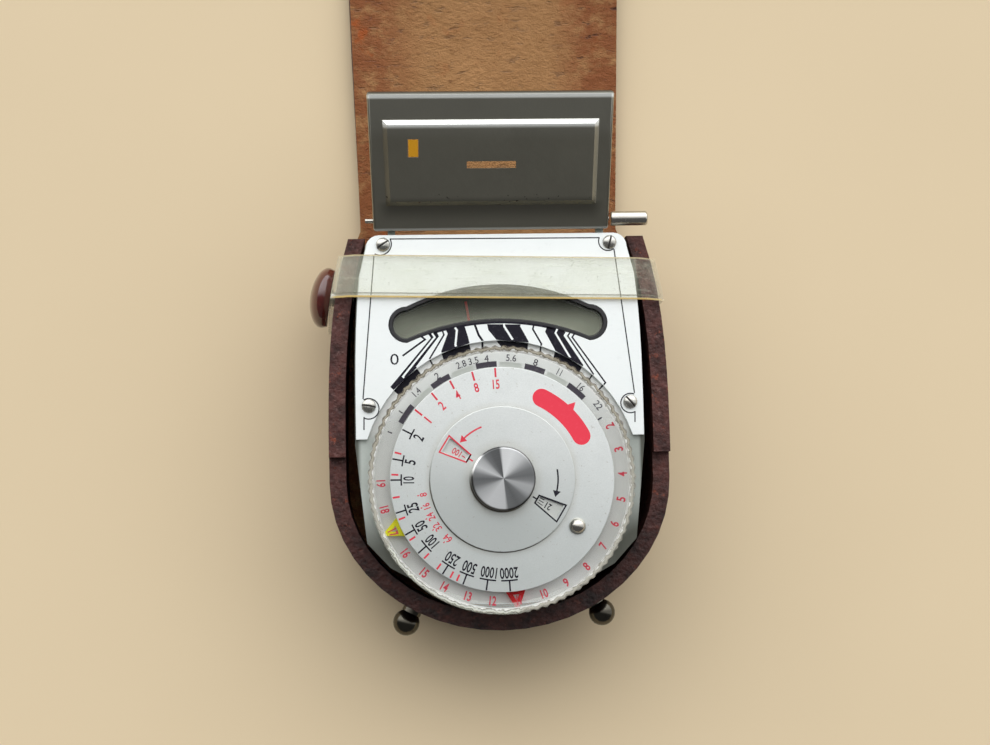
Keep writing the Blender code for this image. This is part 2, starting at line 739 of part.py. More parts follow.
def case_wall():
    """The stiff wall round the meter, lower beside the dial so that a thumb can turn it."""
    outer = case_side(0, CASE_MOUTH_Y)
    inner = case_side(WALL_LEATHER, CASE_MOUTH_Y)
    outer_left = [(-x, y) for x, y in reversed(outer[:-1])]
    inner_left = [(-x, y) for x, y in inner[:-1]]
    outline = outer + outer_left + inner_left + list(reversed(inner))
    wall = prism("case_wall", outline, LEATHER + SEAT, WALL_HIGH_TOP)
    link_part(wall, brown_leather())
    reach = CASE_HALF_WIDTH + OVERRUN
    low = (-reach, -reach, WALL_LOW_TOP)
    combine(wall, block("low", low, (reach, WALL_NOTCH_Y, WALL_HIGH_TOP + OVERRUN)))
    combine(wall, snap_hole())
    combine(wall, rivet_hole())
    for side in (-1, 1):
        hole = wall_hole(STUD_SHANK_RADIUS, STUD_FOOT_RADIUS, STUD_FOOT_THICK, stud_matrix(side))
        combine(wall, hole)


def flap_lift(x, y):
    """How far the flap stands off the table: curled edges and a few slow waves."""
    along = min(max((y - FLAP_FLAT) / FLAP_RISE, 0), 1)
    across = x / FLAP_END_HALF_WIDTH
    wave = FLAP_WAVE * (1 + math.sin(math.tau * y / FLAP_WAVE_LENGTH + across))
    return along * (wave + FLAP_CURL * abs(across) ** FLAP_CURL_POWER)


def curled(flap):
    """Bend the flat flap along its lines, and split its faces so that each stays flat."""
    across = [FLAP_END_HALF_WIDTH * share for share in FLAP_LINE_SHARES]
    along = [FLAP_LENGTH * line / FLAP_LINES for line in range(1, FLAP_LINES)]
    scored(flap, across, along)
    shape = bmesh.new()
    shape.from_mesh(flap.data)
    for vertex in shape.verts:
        vertex.co.z += flap_lift(vertex.co.x, vertex.co.y)
    bmesh.ops.triangulate(shape, faces=shape.faces[:])
    shape.to_mesh(flap.data)
    shape.free()
    return flap


def case_flap():
    """The long flap, folded back flat, with the two holes that button over the ball studs."""
    axis = axis_empty("flap_axis", (0, FOLD_Y, LEATHER))
    near = SEAT / 2
    bend_y = FLAP_LENGTH - FLAP_END_ROUND
    side = [(FLAP_FOLD_HALF_WIDTH, near), (FLAP_END_HALF_WIDTH, bend_y)]
    for step in range(1, CASE_BEND_STEPS + 1):
        angle = math.radians(90) * step / CASE_BEND_STEPS
        rise = FLAP_END_ROUND * math.sin(angle)
        side.append((FLAP_END_HALF_WIDTH * math.cos(angle), bend_y + rise))
    hole_y = FLAP_LENGTH - FLAP_HOLE_INSET
    holes = []
    for sign in (-1, 1):
        center = (sign * FLAP_END_HALF_WIDTH * FLAP_HOLE_SHARE, hole_y - FLAP_HOLE_INSET)
        holes.append(circle(center, FLAP_HOLE_RADIUS, SMALL_STEPS))
    flap = prism("case_flap", mirrored(side), -LEATHER, 0, holes)
    link_part(curled(flap), suede(), axis)


def ball_studs():
    """Two ball studs, riveted through the bottom of the case wall."""
    for name, side in (("ball_stud_left", -1), ("ball_stud_right", 1)):
        collar_top = SEAT + STUD_COLLAR_HEIGHT
        foot_top = STUD_FOOT_THICK - WALL_LEATHER
        start = math.degrees(math.asin(STUD_COLLAR_RADIUS * STUD_NECK_SHARE / BALL_RADIUS)) - 90
        ball = arc((0, BALL_OFFSET), BALL_RADIUS, 90, start, 9)
        ball[0] = (0, BALL_OFFSET + BALL_RADIUS)
        profile = ball + [(STUD_COLLAR_RADIUS, collar_top), (STUD_COLLAR_RADIUS, SEAT),
                          (STUD_SHANK_RADIUS, SEAT), (STUD_SHANK_RADIUS, foot_top),
                          (STUD_FOOT_RADIUS, foot_top),
                          (STUD_FOOT_RADIUS, foot_top - STUD_FOOT_THICK),
                          (0, foot_top - STUD_FOOT_THICK)]
        stud = turned(name, profile, 20)
        link_part(placed(stud, stud_matrix(side)), dark_chrome())


def scored(item, across, along):
    """Cut the faces of a flat piece at chosen X and Y values, so that it can bend there."""
    shape = bmesh.new()
    shape.from_mesh(item.data)
    lines = [((x, 0, 0), (1, 0, 0)) for x in across] + [((0, y, 0), (0, 1, 0)) for y in along]
    for place, direction in lines:
        parts = shape.verts[:] + shape.edges[:] + shape.faces[:]
        bmesh.ops.bisect_plane(shape, geom=parts, dist=MERGE, plane_co=place, plane_no=direction)
    shape.to_mesh(item.data)
    shape.free()
    return item


def band_sections():
    """The inner and outer faces of the band's section, from its left end to its right end."""
    flat = PLATE_TOP + SEAT
    rim = WALL_HIGH_TOP + SEAT
    wall_x = case_half_width(BAND_Y) + SEAT
    corner = wall_x - BAND_SHOULDER
    top = rim + BAND_THICK
    inner = [(-wall_x, 0), (-wall_x, rim - BAND_SHOULDER), (-corner, rim), (-METER_HALF_WIDTH, flat)]
    outer = [(-wall_x - BAND_THICK, 0), (-wall_x - BAND_THICK, rim - BAND_SHOULDER / 2),
             (-corner - BAND_THICK / 2, top), (-METER_HALF_WIDTH - BAND_THICK / 2, flat + BAND_THICK)]
    inner += [(-x, z) for x, z in reversed(inner)]
    outer += [(-x, z) for x, z in reversed(outer)]
    return inner, outer


def holding_band():
    """The clear band that holds the meter in, over the plate and down both walls.

    It is a flat strip with a round tab at one end, bent along its section.
    """
    inner, outer = band_sections()
    stations = [0]
    for start, end in zip(inner, inner[1:]):
        stations.append(stations[-1] + math.dist(start, end))
    half = BAND_WIDTH / 2
    side = case_half_width(BAND_Y)
    center = (SNAP_HEIGHT, SNAP_Y - band_middle(-side))
    outline = arc(center, BAND_TAB_RADIUS, 75, 315, ROUND_STEPS)
    outline += [(stations[1], -half), (stations[-1] - BAND_LEG_END, -half)]
    outline += [(stations[-1] - BAND_LEG_END, half), (SNAP_HEIGHT + BAND_TAB_RADIUS, half)]
    band = prism("holding_band", outline, 0, BAND_THICK)
    ridges = [CASE_MOUTH_Y * step / CASE_SIDE_STEPS - band_middle(end)
              for step in range(CASE_SIDE_STEPS) for end in (-side, side)]
    scored(band, stations[1:-1], ridges)
    for vertex in band.data.vertices:
        along, across, height = vertex.co
        index = max(k for k in range(len(inner) - 1) if along >= stations[k] - MERGE)
        share = (along - stations[index]) / (stations[index + 1] - stations[index])
        face = outer if height > BAND_THICK / 2 else inner
        x, z = (a + (b - a) * share for a, b in zip(face[index], face[index + 1]))
        y = band_middle(x) + across
        vertex.co = (x * case_half_width(y) / side, y, z)
    cleaned(band.data)
    link_part(band, finish("clear_vinyl", (0.80, 0.82, 0.66), 0.2, 0))
    combine(band, snap_hole())
    combine(band, rivet_hole())


def snap_fastener():
    """The domed cap that snaps over a stud through the band's tab and the left wall."""
    low = SEAT + BAND_THICK + SEAT
    matrix = wall_matrix(-1, SNAP_Y, SNAP_HEIGHT)
    dome = SNAP_CAP_THICK - SNAP_SKIRT
    skirt_top = low + SNAP_SKIRT
    crown = []
    for step in range(8):
        angle = math.radians(90) * step / 7
        crown.append((SNAP_CAP_RADIUS * math.sin(angle), skirt_top + dome * math.cos(angle)))
    bore = SNAP_SHANK_RADIUS + SEAT
    bore_top = low + SNAP_SHANK_REACH + SEAT
    profile = crown + [(SNAP_CAP_RADIUS * SNAP_HEM_SHARE, low), (bore, low), (bore, bore_top),
                       (0, bore_top)]
    cap = placed(turned("snap_cap", profile), matrix)
    link_part(cap, finish("maroon_enamel", (0.17, 0.035, 0.025), 0.25, 0))
    foot_top = SNAP_FOOT_THICK - WALL_LEATHER
    profile = [(0, low + SNAP_SHANK_REACH), (SNAP_SHANK_RADIUS, low + SNAP_SHANK_REACH),
               (SNAP_SHANK_RADIUS, foot_top), (SNAP_FOOT_RADIUS, foot_top),
               (SNAP_FOOT_RADIUS, foot_top - SNAP_FOOT_THICK), (0, foot_top - SNAP_FOOT_THICK)]
    link_part(placed(turned("snap_stud", profile, 16), matrix), bright_steel())


def band_rivet():
    """The rivet that fixes the band to the right wall."""
    low = SEAT + BAND_THICK + SEAT
    foot_top = RIVET_FOOT_THICK - WALL_LEATHER
    crown = []
    for step in range(5):
        angle = math.radians(90) * step / 4
        rise = RIVET_HEAD_THICK * math.cos(angle)
        crown.append((RIVET_HEAD_RADIUS * math.sin(angle), low + rise))
    profile = crown + [(RIVET_SHANK_RADIUS, low), (RIVET_SHANK_RADIUS, foot_top),
                       (RIVET_HEAD_RADIUS, foot_top),
                       (RIVET_HEAD_RADIUS, foot_top - RIVET_FOOT_THICK),
                       (0, foot_top - RIVET_FOOT_THICK)]
    matrix = wall_matrix(1, band_middle(case_half_width(BAND_Y)), RIVET_HEIGHT)
    rivet = placed(turned("band_rivet", profile, 16), matrix)
    link_part(rivet, bright_steel())


def plate_screw_places():
    """The four places of the plate's screws, upper pair first."""
    upper = [(sign * PLATE_SCREW_X, PLATE_SCREW_Y) for sign in (-1, 1)]
    lower = [(sign * PLATE_LOW_SCREW_X, PLATE_LOW_SCREW_Y) for sign in (-1, 1)]
    return upper + lower


def rear_screw_places():
    """The three places of the screws that hold the rear plate."""
    return [(-BOSS_X, BOSS_Y), (BOSS_X, BOSS_Y), (0, -BOSS_BOTTOM_Y)]


def post(name, place, radius, low, high, steps=SMALL_STEPS):
    """A plain round post or hole cutter between two heights."""
    return prism(name, circle(place, radius, steps), low, high)


def lug(side):
    """A hinge lug that reaches out of the cell end and up round the hinge pin."""
    eye = PIN_RADIUS + RUN + EYE_WALL
    bar_top = HINGE_Z - eye - EYE_WALL
    bar_low = bar_top - LUG_BAR
    root = METER_TOP_Y - HOUSING_WALL / 2
    outline = [(root, bar_low), (HINGE_Y + eye, bar_low)]
    outline += arc((HINGE_Y, HINGE_Z), eye, 0, 180, 8)
    outline += [(HINGE_Y - eye, bar_top), (root, bar_top)]
    middle = side * LUG_X
    piece = prism("lug", outline, middle - LUG_THICK / 2, middle + LUG_THICK / 2)
    return placed(piece, ALONG_X)


def housing():
    """The deep metal case of the meter: a deck, side walls, screw bosses and hinge lugs."""
    shell = prism("housing", meter_outline(0), HOUSING_LOW, DECK_TOP)
    link_part(shell, cast_silver())
    combine(shell, prism("cavity", meter_outline(HOUSING_WALL), HOUSING_LOW - OVERRUN, DECK_LOW))
    middle = (DECK_TOP + DECK_LOW) / 2
    for place in rear_screw_places():
        combine(shell, post("boss", place, BOSS_RADIUS, HOUSING_LOW, middle), "UNION")
    rail_y = cell_levels()["backing"] - SEAT
    wall_x = meter_half_width(rail_y) - HOUSING_WALL / 2
    for side in (-1, 1):
        ends = sorted((side * RAIL_INNER_X, side * wall_x))
        low = (ends[0], rail_y - RAIL_THICK, HOUSING_LOW)
        combine(shell, block("rail", low, (ends[1], rail_y, middle)), "UNION")
        combine(shell, lug(side), "UNION")
    hole = PIN_RADIUS + RUN
    reach = LUG_X + LUG_THICK
    pin = placed(post("pin", (HINGE_Y, HINGE_Z), hole, -reach, reach), ALONG_X)
    combine(shell, pin)
    for place in rear_screw_places():
        top = REAR_TOP + REAR_SCREW_LENGTH + SEAT
        combine(shell, post("screw", place, REAR_SCREW_RADIUS + RUN, HOUSING_LOW - OVERRUN, top))
    for place in plate_screw_places():
        low = PLATE_LOW - SCREW_GRIP - SEAT
        low = max(low, DECK_LOW + SEAT)
        combine(shell, post("screw", place, SCREW_SHANK_RADIUS + RUN, low, DECK_TOP + OVERRUN))
    combine(shell, post("post", (0, 0), POST_RADIUS + RUN, DECK_LOW - OVERRUN, DECK_TOP + OVERRUN))
    grow = BEZEL_WIDTH + BEZEL_GAP
    window = prism("window", window_outline(grow), DECK_LOW - OVERRUN, DECK_TOP + OVERRUN)
    combine(shell, window)
    low = (-CELL_OPENING_HALF, METER_TOP_Y - HOUSING_WALL - OVERRUN, CELL_OPENING_LOW)
    high = (CELL_OPENING_HALF, METER_TOP_Y + OVERRUN, CELL_OPENING_HIGH)
    combine(shell, block("cell", low, high))


def rear_plate():
    """The flat rear cover with its screw holes and the hole of the zero screw."""
    holes = [circle(place, REAR_SCREW_RADIUS + RUN, SMALL_STEPS) for place in rear_screw_places()]
    holes.append(circle((0, -ZERO_SCREW_Y), ZERO_HEAD_RADIUS + RUN, SMALL_STEPS))
    plate = prism("rear_plate", meter_outline(0), REAR_LOW, REAR_TOP, holes)
    link_part(plate, cast_silver())
    sink = REAR_LOW + REAR_HEAD_THICK + SEAT
    for place in rear_screw_places():
        combine(plate, post("sink", place, REAR_HEAD_RADIUS + RUN, REAR_LOW - OVERRUN, sink))


def rear_screws():
    """Three screws, sunk flush in the rear plate and running up into the bosses."""
    names = ("rear_screw_left", "rear_screw_right", "rear_screw_bottom")
    head_top = REAR_LOW + REAR_HEAD_THICK
    tip = REAR_TOP + REAR_SCREW_LENGTH
    for name, place in zip(names, rear_screw_places()):
        profile = [(0, tip), (REAR_SCREW_RADIUS, tip), (REAR_SCREW_RADIUS, head_top),
                   (REAR_HEAD_RADIUS, head_top), (REAR_HEAD_RADIUS, REAR_LOW), (0, REAR_LOW)]
        screw = turned(name, profile, SMALL_STEPS)
        link_part(placed(screw, Matrix.Translation((*place, 0))), bright_steel())


def face_plate():
    """The satin face plate, cut round the dial, with tabs that reach down beside it."""
    cut = DIAL_RADIUS + PLATE_DIAL_GAP
    side = meter_upper_side(PLATE_EDGE, PLATE_TAB_Y)
    start = math.degrees(math.asin(PLATE_TAB_Y / cut))
    side += arc((0, 0), cut, start, 90, 12)
    holes = [window_outline(BEZEL_WIDTH + BEZEL_GAP)]
    for place in plate_screw_places():
        holes.append(circle(place, SCREW_SHANK_RADIUS + RUN, SMALL_STEPS))
    plate = prism("face_plate", mirrored(side), PLATE_LOW, PLATE_TOP, holes)
    link_part(plate, satin_silver())


def plate_screws():
    """Four domed, slotted screws of the face plate."""
    names = ("plate_screw_upper_left", "plate_screw_upper_right",
             "plate_screw_lower_left", "plate_screw_lower_right")
    low = PLATE_TOP + SEAT / 2
    for name, place, angle in zip(names, plate_screw_places(), SCREW_SLOT_ANGLES):
        crown = []
        for step in range(5):
            turn = math.radians(90) * step / 4
            rise = SCREW_HEAD_THICK * math.cos(turn)
            crown.append((SCREW_HEAD_RADIUS * math.sin(turn), low + rise))
        tip = max(PLATE_LOW - SCREW_GRIP, DECK_LOW + SEAT + SEAT)
        profile = crown + [(SCREW_SHANK_RADIUS, low), (SCREW_SHANK_RADIUS, tip), (0, tip)]
        matrix = Matrix.Translation((*place, 0)) @ Matrix.Rotation(math.radians(angle), 4, "Z")
        screw = placed(turned(name, profile, 20), matrix)
        link_part(screw, bright_steel())
        reach = SCREW_HEAD_RADIUS + OVERRUN
        top = low + SCREW_HEAD_THICK
        slot = block("slot", (-reach, -SCREW_SLOT_WIDTH / 2, top - SCREW_SLOT_DEPTH),
                     (reach, SCREW_SLOT_WIDTH / 2, top + OVERRUN))
        combine(screw, placed(slot, matrix))


def needle_window():
    """The black bezel, the clear window in it, and the pale tray that the needle swings over."""
    bezel = prism("window_bezel", window_outline(BEZEL_WIDTH), DECK_LOW, PLATE_TOP)
    link_part(bezel, black_paint())
    glass_top = PLATE_TOP - GLASS_DEPTH
    ledge = prism("sight", window_outline(-BEZEL_WIDTH / 2), DECK_LOW - OVERRUN, PLATE_TOP + OVERRUN)
    seat = glass_top - GLASS_THICK - BEZEL_GAP
    combine(bezel, ledge)
    combine(bezel, prism("rebate", window_outline(0), seat, PLATE_TOP + OVERRUN))
    glass = prism("window_glass", window_outline(-BEZEL_GAP), glass_top - GLASS_THICK, glass_top)
    link_part(glass, finish("clear_acrylic", (0.9, 0.93, 0.9), 0.05, 0))
    top = DECK_LOW - SEAT
    tray = prism("needle_tray", window_outline(TRAY_WALL + BEZEL_WIDTH), TRAY_LOW, top)
    link_part(tray, finish("grey_green_card", (0.36, 0.39, 0.33), 0.8, 0))
    floor = TRAY_LOW + TRAY_FLOOR_THICK
    combine(tray, prism("inside", window_outline(BEZEL_WIDTH), floor, top + OVERRUN))
    reach = WINDOW_BOTTOM_Y + TRAY_WALL
    outline = box_outline((-WINDOW_END_X, reach / 2), (WINDOW_END_X, reach))
    combine(tray, prism("needle_way", outline, floor, top + OVERRUN))


def cell_levels():
    """The Y of each layer of the cell, from the end wall inwards."""
    frame = METER_TOP_Y - HOUSING_WALL - SEAT
    cell = frame - CELL_FRAME_THICK - SEAT
    backing = cell - CELL_THICK - SEAT
    return {"frame": frame, "cell": cell, "backing": backing - BACKING_THICK}


def cell_layers():
    """The cell's window, frame, selenium plate and backing board, behind the lid."""
    levels = cell_levels()
    low = CELL_OPENING_LOW + SEAT
    high = CELL_OPENING_HIGH - SEAT
    half = CELL_OPENING_HALF - SEAT
    front = METER_TOP_Y + CELL_WINDOW_PROUD
    back = max(front - CELL_WINDOW_THICK, levels["frame"] + SEAT)
    window = block("cell_window", (-half, back, low), (half, front, high))
    link_part(window, finish("lens_plastic", (0.72, 0.74, 0.70), 0.15, 0))
    floor = HOUSING_LOW + SEAT
    roof = DECK_LOW - SEAT
    outer = box_outline((-CELL_FRAME_HALF, floor), (CELL_FRAME_HALF, roof))
    edge = CELL_FRAME_HALF - CELL_FRAME_BORDER
    sight = box_outline((-edge, floor + CELL_FRAME_BORDER), (edge, roof - CELL_FRAME_BORDER))
    frame = prism("cell_frame", outer, -levels["frame"], CELL_FRAME_THICK - levels["frame"],
                  [sight])
    link_part(placed(frame, ALONG_Y), black_paint())
    top = levels["cell"]
    cell = block("selenium_cell", (-CELL_HALF_WIDTH, top - CELL_THICK, floor + CELL_BORDER),
                 (CELL_HALF_WIDTH, top, roof - CELL_BORDER))
    link_part(cell, finish("selenium", (0.12, 0.11, 0.13), 0.3, 0.6))
    back = levels["backing"]
    board = block("cell_backing", (-CELL_FRAME_HALF, back, floor),
                  (CELL_FRAME_HALF, back + BACKING_THICK, roof))
    link_part(board, finish("fibre_board", (0.30, 0.19, 0.10), 0.8, 0))


def contact_matrix(side):
    """The place of a contact clip on the back of the backing board."""
    height = (HOUSING_LOW + DECK_LOW) / 2
    return Matrix.Translation((side * CONTACT_X, cell_levels()["backing"] - SEAT, height))


def cell_contacts():
    """Two brass contact clips behind the cell, each bent out to a solder tail."""
    half = CONTACT_HEIGHT / 2
    outline = [(0, half), (0, -half), (-CONTACT_FOOT, -half), (-CONTACT_FOOT, CONTACT_THICK - half),
               (-CONTACT_THICK, CONTACT_THICK - half), (-CONTACT_THICK, half)]
    for name, side in (("cell_contact_left", -1), ("cell_contact_right", 1)):
        clip = prism(name, outline, -CONTACT_WIDTH / 2, CONTACT_WIDTH / 2)
        link_part(placed(placed(clip, ALONG_X), contact_matrix(side)), brass())


def smooth_route(points, steps):
    """A smooth curve through chosen points, read at even steps between them."""
    ends = [points[0]] + points + [points[-1]]
    route = []
    for index in range(1, len(ends) - 2):
        before, start, end, after = (Vector(ends[index + offset]) for offset in (-1, 0, 1, 2))
        for step in range(steps):
            share = step / steps
            bend = (2 * start + (end - before) * share
                    + (2 * before - 5 * start + 4 * end - after) * share ** 2
                    + (3 * start - before - 3 * end + after) * share ** 3)
            route.append(bend / 2)
    route.append(Vector(points[-1]))
    return route


def wiring():
    """The trimming resistor and the leads from the cell to the movement."""
    bottom = REAR_TOP + SEAT + RESISTOR_RADIUS
    half = RESISTOR_LENGTH / 2
    profile = [(0, half), (RESISTOR_RADIUS, half), (RESISTOR_RADIUS, -half), (0, -half)]
    resistor = turned("trim_resistor", profile, SMALL_STEPS)
    placed(resistor, facing((-RESISTOR_X, RESISTOR_Y, bottom), (0, 1, 0)))
    link_part(resistor, finish("resistor_body", (0.35, 0.22, 0.12), 0.5, 0))
    tail = contact_matrix(-1).translation + Vector((0, -CONTACT_FOOT - SEAT - WIRE_RADIUS, 0))
    tail.z -= CONTACT_HEIGHT / 2
    end = Vector((-RESISTOR_X, RESISTOR_Y + half + SEAT, bottom))
    drop = Vector((tail.x, (tail.y + end.y) / 2, bottom + RESISTOR_RADIUS))
    lead = tube("lead_wire_left", smooth_route([tail, drop, end], 7), WIRE_RADIUS, 1)
    link_part(lead, finish("red_wire", (0.5, 0.04, 0.03), 0.5, 0))
    tail = contact_matrix(1).translation + Vector((0, -CONTACT_FOOT - SEAT - WIRE_RADIUS, 0))
    tail.z -= CONTACT_HEIGHT / 2
    side = BASE_RADIUS * math.sqrt(0.5) + SEAT + WIRE_RADIUS
    end = Vector((side, side, BASE_TOP + BASE_RIM_HEIGHT / 2))
    drop = Vector((tail.x, (tail.y + end.y) / 2, end.z))
    lead = tube("lead_wire_right", smooth_route([tail, drop, end], 9), WIRE_RADIUS, 1)
    link_part(lead, black_paint())


def magnet_and_core():
    """The ring magnet on its cupped base, and the iron core held by a bar across its bore."""
    rim = BASE_TOP + BASE_RIM_HEIGHT
    hole = JEWEL_RADIUS + RUN
    profile = [(BASE_RIM_INNER, rim), (BASE_RADIUS, rim), (BASE_RADIUS, BASE_LOW),
               (hole, BASE_LOW), (hole, BASE_TOP), (BASE_RIM_INNER, BASE_TOP)]
    base = turned("movement_base", profile, ROUND_STEPS, ring=True)
    link_part(base, brass())
    reach = BASE_RADIUS + OVERRUN
    half = LEVER_HALF_WIDTH * 2
    gate = block("gate", (-half, -reach, BASE_TOP), (half, 0, rim + OVERRUN))
    combine(base, gate)
    magnet = prism("magnet", circle((0, 0), MAGNET_RADIUS), MAGNET_LOW, MAGNET_TOP,
                   [circle((0, 0), MAGNET_BORE)])
    link_part(magnet, finish("magnet_steel", (0.22, 0.22, 0.23), 0.45, 0.9))
    gap = block("gap", (-MAGNET_GAP / 2, -MAGNET_RADIUS - OVERRUN, MAGNET_LOW - OVERRUN),
                (MAGNET_GAP / 2, 0, MAGNET_TOP + OVERRUN))
    combine(magnet, gap)
    core = post("iron_core", (0, 0), CORE_RADIUS, CORE_LOW, CORE_TOP, 20)
    link_part(core, finish("soft_iron", (0.35, 0.34, 0.33), 0.4, 1))
    bar_low = CORE_TOP - CORE_BAR_HEIGHT
    half = CORE_BAR_WIDTH / 2 + SEAT
    reach = CORE_RADIUS + OVERRUN
    combine(core, block("slot", (-half, -reach, bar_low - SEAT), (half, reach, CORE_TOP + OVERRUN)))
    end = MAGNET_BORE - SEAT
    bar = block("core_bar", (-CORE_BAR_WIDTH / 2, -end, bar_low),
                (CORE_BAR_WIDTH / 2, end, CORE_TOP))
    link_part(bar, brass())


def moving_coil(axis):
    """The coil frame round the core, with its pivots, and the red needle on the upper one."""
    inner = COIL_HALF_WIDTH - COIL_LIMB
    outer = box_outline((-COIL_HALF_WIDTH, COIL_LOW), (COIL_HALF_WIDTH, COIL_TOP))
    hollow = box_outline((-inner, COIL_LOW + COIL_LIMB), (inner, COIL_TOP - COIL_LIMB))
    coil = prism("moving_coil", outer, -COIL_THICK / 2, COIL_THICK / 2, [hollow])
    link_part(placed(coil, ALONG_Y), copper(), axis)
    top = BRIDGE_LOW + SEAT
    low = COIL_TOP + SEAT
    profile = [(0, top), (PIVOT_RADIUS, top), (PIVOT_RADIUS, low + PIVOT_COLLAR),
               (PIVOT_COLLAR, low + PIVOT_COLLAR), (PIVOT_COLLAR, low), (0, low)]
    link_part(turned("pivot_upper", profile, SMALL_STEPS), bright_steel(), axis)
    top = COIL_LOW - SEAT
    low = BASE_TOP + SEAT
    profile = [(0, top), (PIVOT_RADIUS, top), (PIVOT_RADIUS, low), (0, low)]
    link_part(turned("pivot_lower", profile, SMALL_STEPS), bright_steel(), axis)
    right = [(NEEDLE_TIP_HALF, NEEDLE_REACH), (NEEDLE_ROOT_HALF, NEEDLE_HUB)]
    right += [(NEEDLE_HUB, 0), (NEEDLE_ROOT_HALF, -NEEDLE_HUB), (NEEDLE_TAIL_HALF, -NEEDLE_TAIL)]
    hole = circle((0, 0), PIVOT_RADIUS + RUN / 2, SMALL_STEPS)
    top = NEEDLE_LOW + NEEDLE_THICK
    needle = prism("needle", mirrored(right), NEEDLE_LOW, top, [hole])
    link_part(needle, finish("red_enamel", (0.62, 0.03, 0.06), 0.4, 0), axis)


def hairspring(name, height, anchor):
    """A flat spiral spring, wound out from its collet and held at its outer end."""
    points = []
    count = HAIRSPRING_TURNS * SMALL_STEPS
    for step in range(count + 1):
        share = step / count
        radius = HAIRSPRING_INNER + (HAIRSPRING_OUTER - HAIRSPRING_INNER) * share
        points.append((*polar(radius, 360 * HAIRSPRING_TURNS * share), height))
    points.append((anchor, 0, height))
    link_part(tube(name, points, HAIRSPRING_WIRE, 0), brass())


def bridge():
    """The upper bridge on its two pillars, and the jewels that the pivots turn in."""
    half_length = BRIDGE_PILLAR_X + BRIDGE_HALF_WIDTH
    ends = arc((0, 0), BRIDGE_HALF_WIDTH, 90, -90, 6)
    outline = [(x + BRIDGE_PILLAR_X, y) for x, y in ends]
    outline += [(-x - BRIDGE_PILLAR_X, y) for x, y in reversed(ends)]
    hole = circle((0, 0), JEWEL_RADIUS + RUN, SMALL_STEPS)
    bar = prism("upper_bridge", outline, BRIDGE_LOW, BRIDGE_TOP, [hole])
    link_part(bar, brass())
    for name, side in (("bridge_pillar_left", -1), ("bridge_pillar_right", 1)):
        pillar = post(name, (side * BRIDGE_PILLAR_X, 0), BRIDGE_PILLAR_RADIUS,
                      MAGNET_TOP + SEAT, BRIDGE_LOW - SEAT)
        link_part(pillar, brass())
    bore = PIVOT_RADIUS + RUN
    cup = BRIDGE_LOW + JEWEL_CUP
    jewel_top = BRIDGE_TOP + SEAT
    profile = [(0, jewel_top), (JEWEL_RADIUS, jewel_top), (JEWEL_RADIUS, BRIDGE_LOW),
               (bore, BRIDGE_LOW), (bore, cup), (0, cup)]
    ruby = finish("ruby", (0.45, 0.02, 0.05), 0.1, 0)
    link_part(turned("jewel_upper", profile, SMALL_STEPS), ruby)
    top = BASE_TOP + SEAT + JEWEL_CUP
    profile = [(0, BASE_TOP), (bore, BASE_TOP), (bore, top), (JEWEL_RADIUS, top),
               (JEWEL_RADIUS, BASE_LOW), (0, BASE_LOW)]
    link_part(turned("jewel_lower", profile, SMALL_STEPS), ruby)


def zero_setting():
    """The zero screw with its eccentric pin, and the forked lever that the pin swings."""
    axis = axis_empty("zero_axis", (0, -ZERO_SCREW_Y, 0))
    flange_low = REAR_TOP + SEAT
    flange_top = flange_low + ZERO_FLANGE_THICK
    profile = [(0, flange_top), (ZERO_FLANGE_RADIUS, flange_top), (ZERO_FLANGE_RADIUS, flange_low),
               (ZERO_HEAD_RADIUS, flange_low), (ZERO_HEAD_RADIUS, REAR_LOW), (0, REAR_LOW)]
    screw = turned("zero_screw", profile, SMALL_STEPS)
    link_part(screw, brass(), axis)
    pin = post("pin", (0, ZERO_PIN_OFFSET), ZERO_PIN_RADIUS,
               flange_top - ZERO_FLANGE_THICK / 2, LEVER_TOP)
    combine(screw, pin, "UNION")
    reach = ZERO_FLANGE_RADIUS + OVERRUN
    half = ZERO_SLOT_WIDTH / 2
    slot = block("slot", (-reach, -half, REAR_LOW - OVERRUN), (reach, half, REAR_LOW + ZERO_SLOT_DEPTH))
    combine(screw, slot)
    lever_axis = axis_empty("lever_axis", (0, 0, 0))
    pin_y = ZERO_SCREW_Y - ZERO_PIN_OFFSET
    fork = ZERO_PIN_RADIUS + RUN
    end = pin_y + ZERO_PIN_RADIUS + ZERO_PIN_OFFSET
    tip_low = end
    slot_top = pin_y - ZERO_PIN_RADIUS - ZERO_PIN_OFFSET / 2
    start = math.degrees(math.asin(LEVER_HALF_WIDTH / LEVER_HUB))
    right = arc((0, 0), LEVER_HUB, 90, start - 90, 8)
    right += [(LEVER_HALF_WIDTH, -tip_low), (fork, -tip_low), (fork, -slot_top)]
    hole = circle((0, 0), JEWEL_RADIUS + RUN, SMALL_STEPS)
    lever = prism("zero_lever", mirrored(right), LEVER_LOW, LEVER_TOP, [hole])
    link_part(lever, brass(), lever_axis)


def dial_post():
    """The post that the dial turns on, with its flange under the deck."""
    flange_top = DECK_LOW - SEAT
    flange_low = flange_top - POST_FLANGE_THICK
    top = KNOB_TOP - KNOB_CROWN - SEAT
    profile = [(0, top), (POST_RADIUS, top), (POST_RADIUS, flange_top),
               (POST_FLANGE_RADIUS, flange_top), (POST_FLANGE_RADIUS, flange_low), (0, flange_low)]
    link_part(turned("dial_post", profile, 20), brass())
    top = WASHER_LOW + WASHER_THICK
    washer = prism("friction_washer", circle((0, 0), WASHER_RADIUS), WASHER_LOW, top,
                   [circle((0, 0), POST_RADIUS + RUN, 20)])
    link_part(washer, finish("spring_bronze", (0.60, 0.42, 0.22), 0.35, 1))


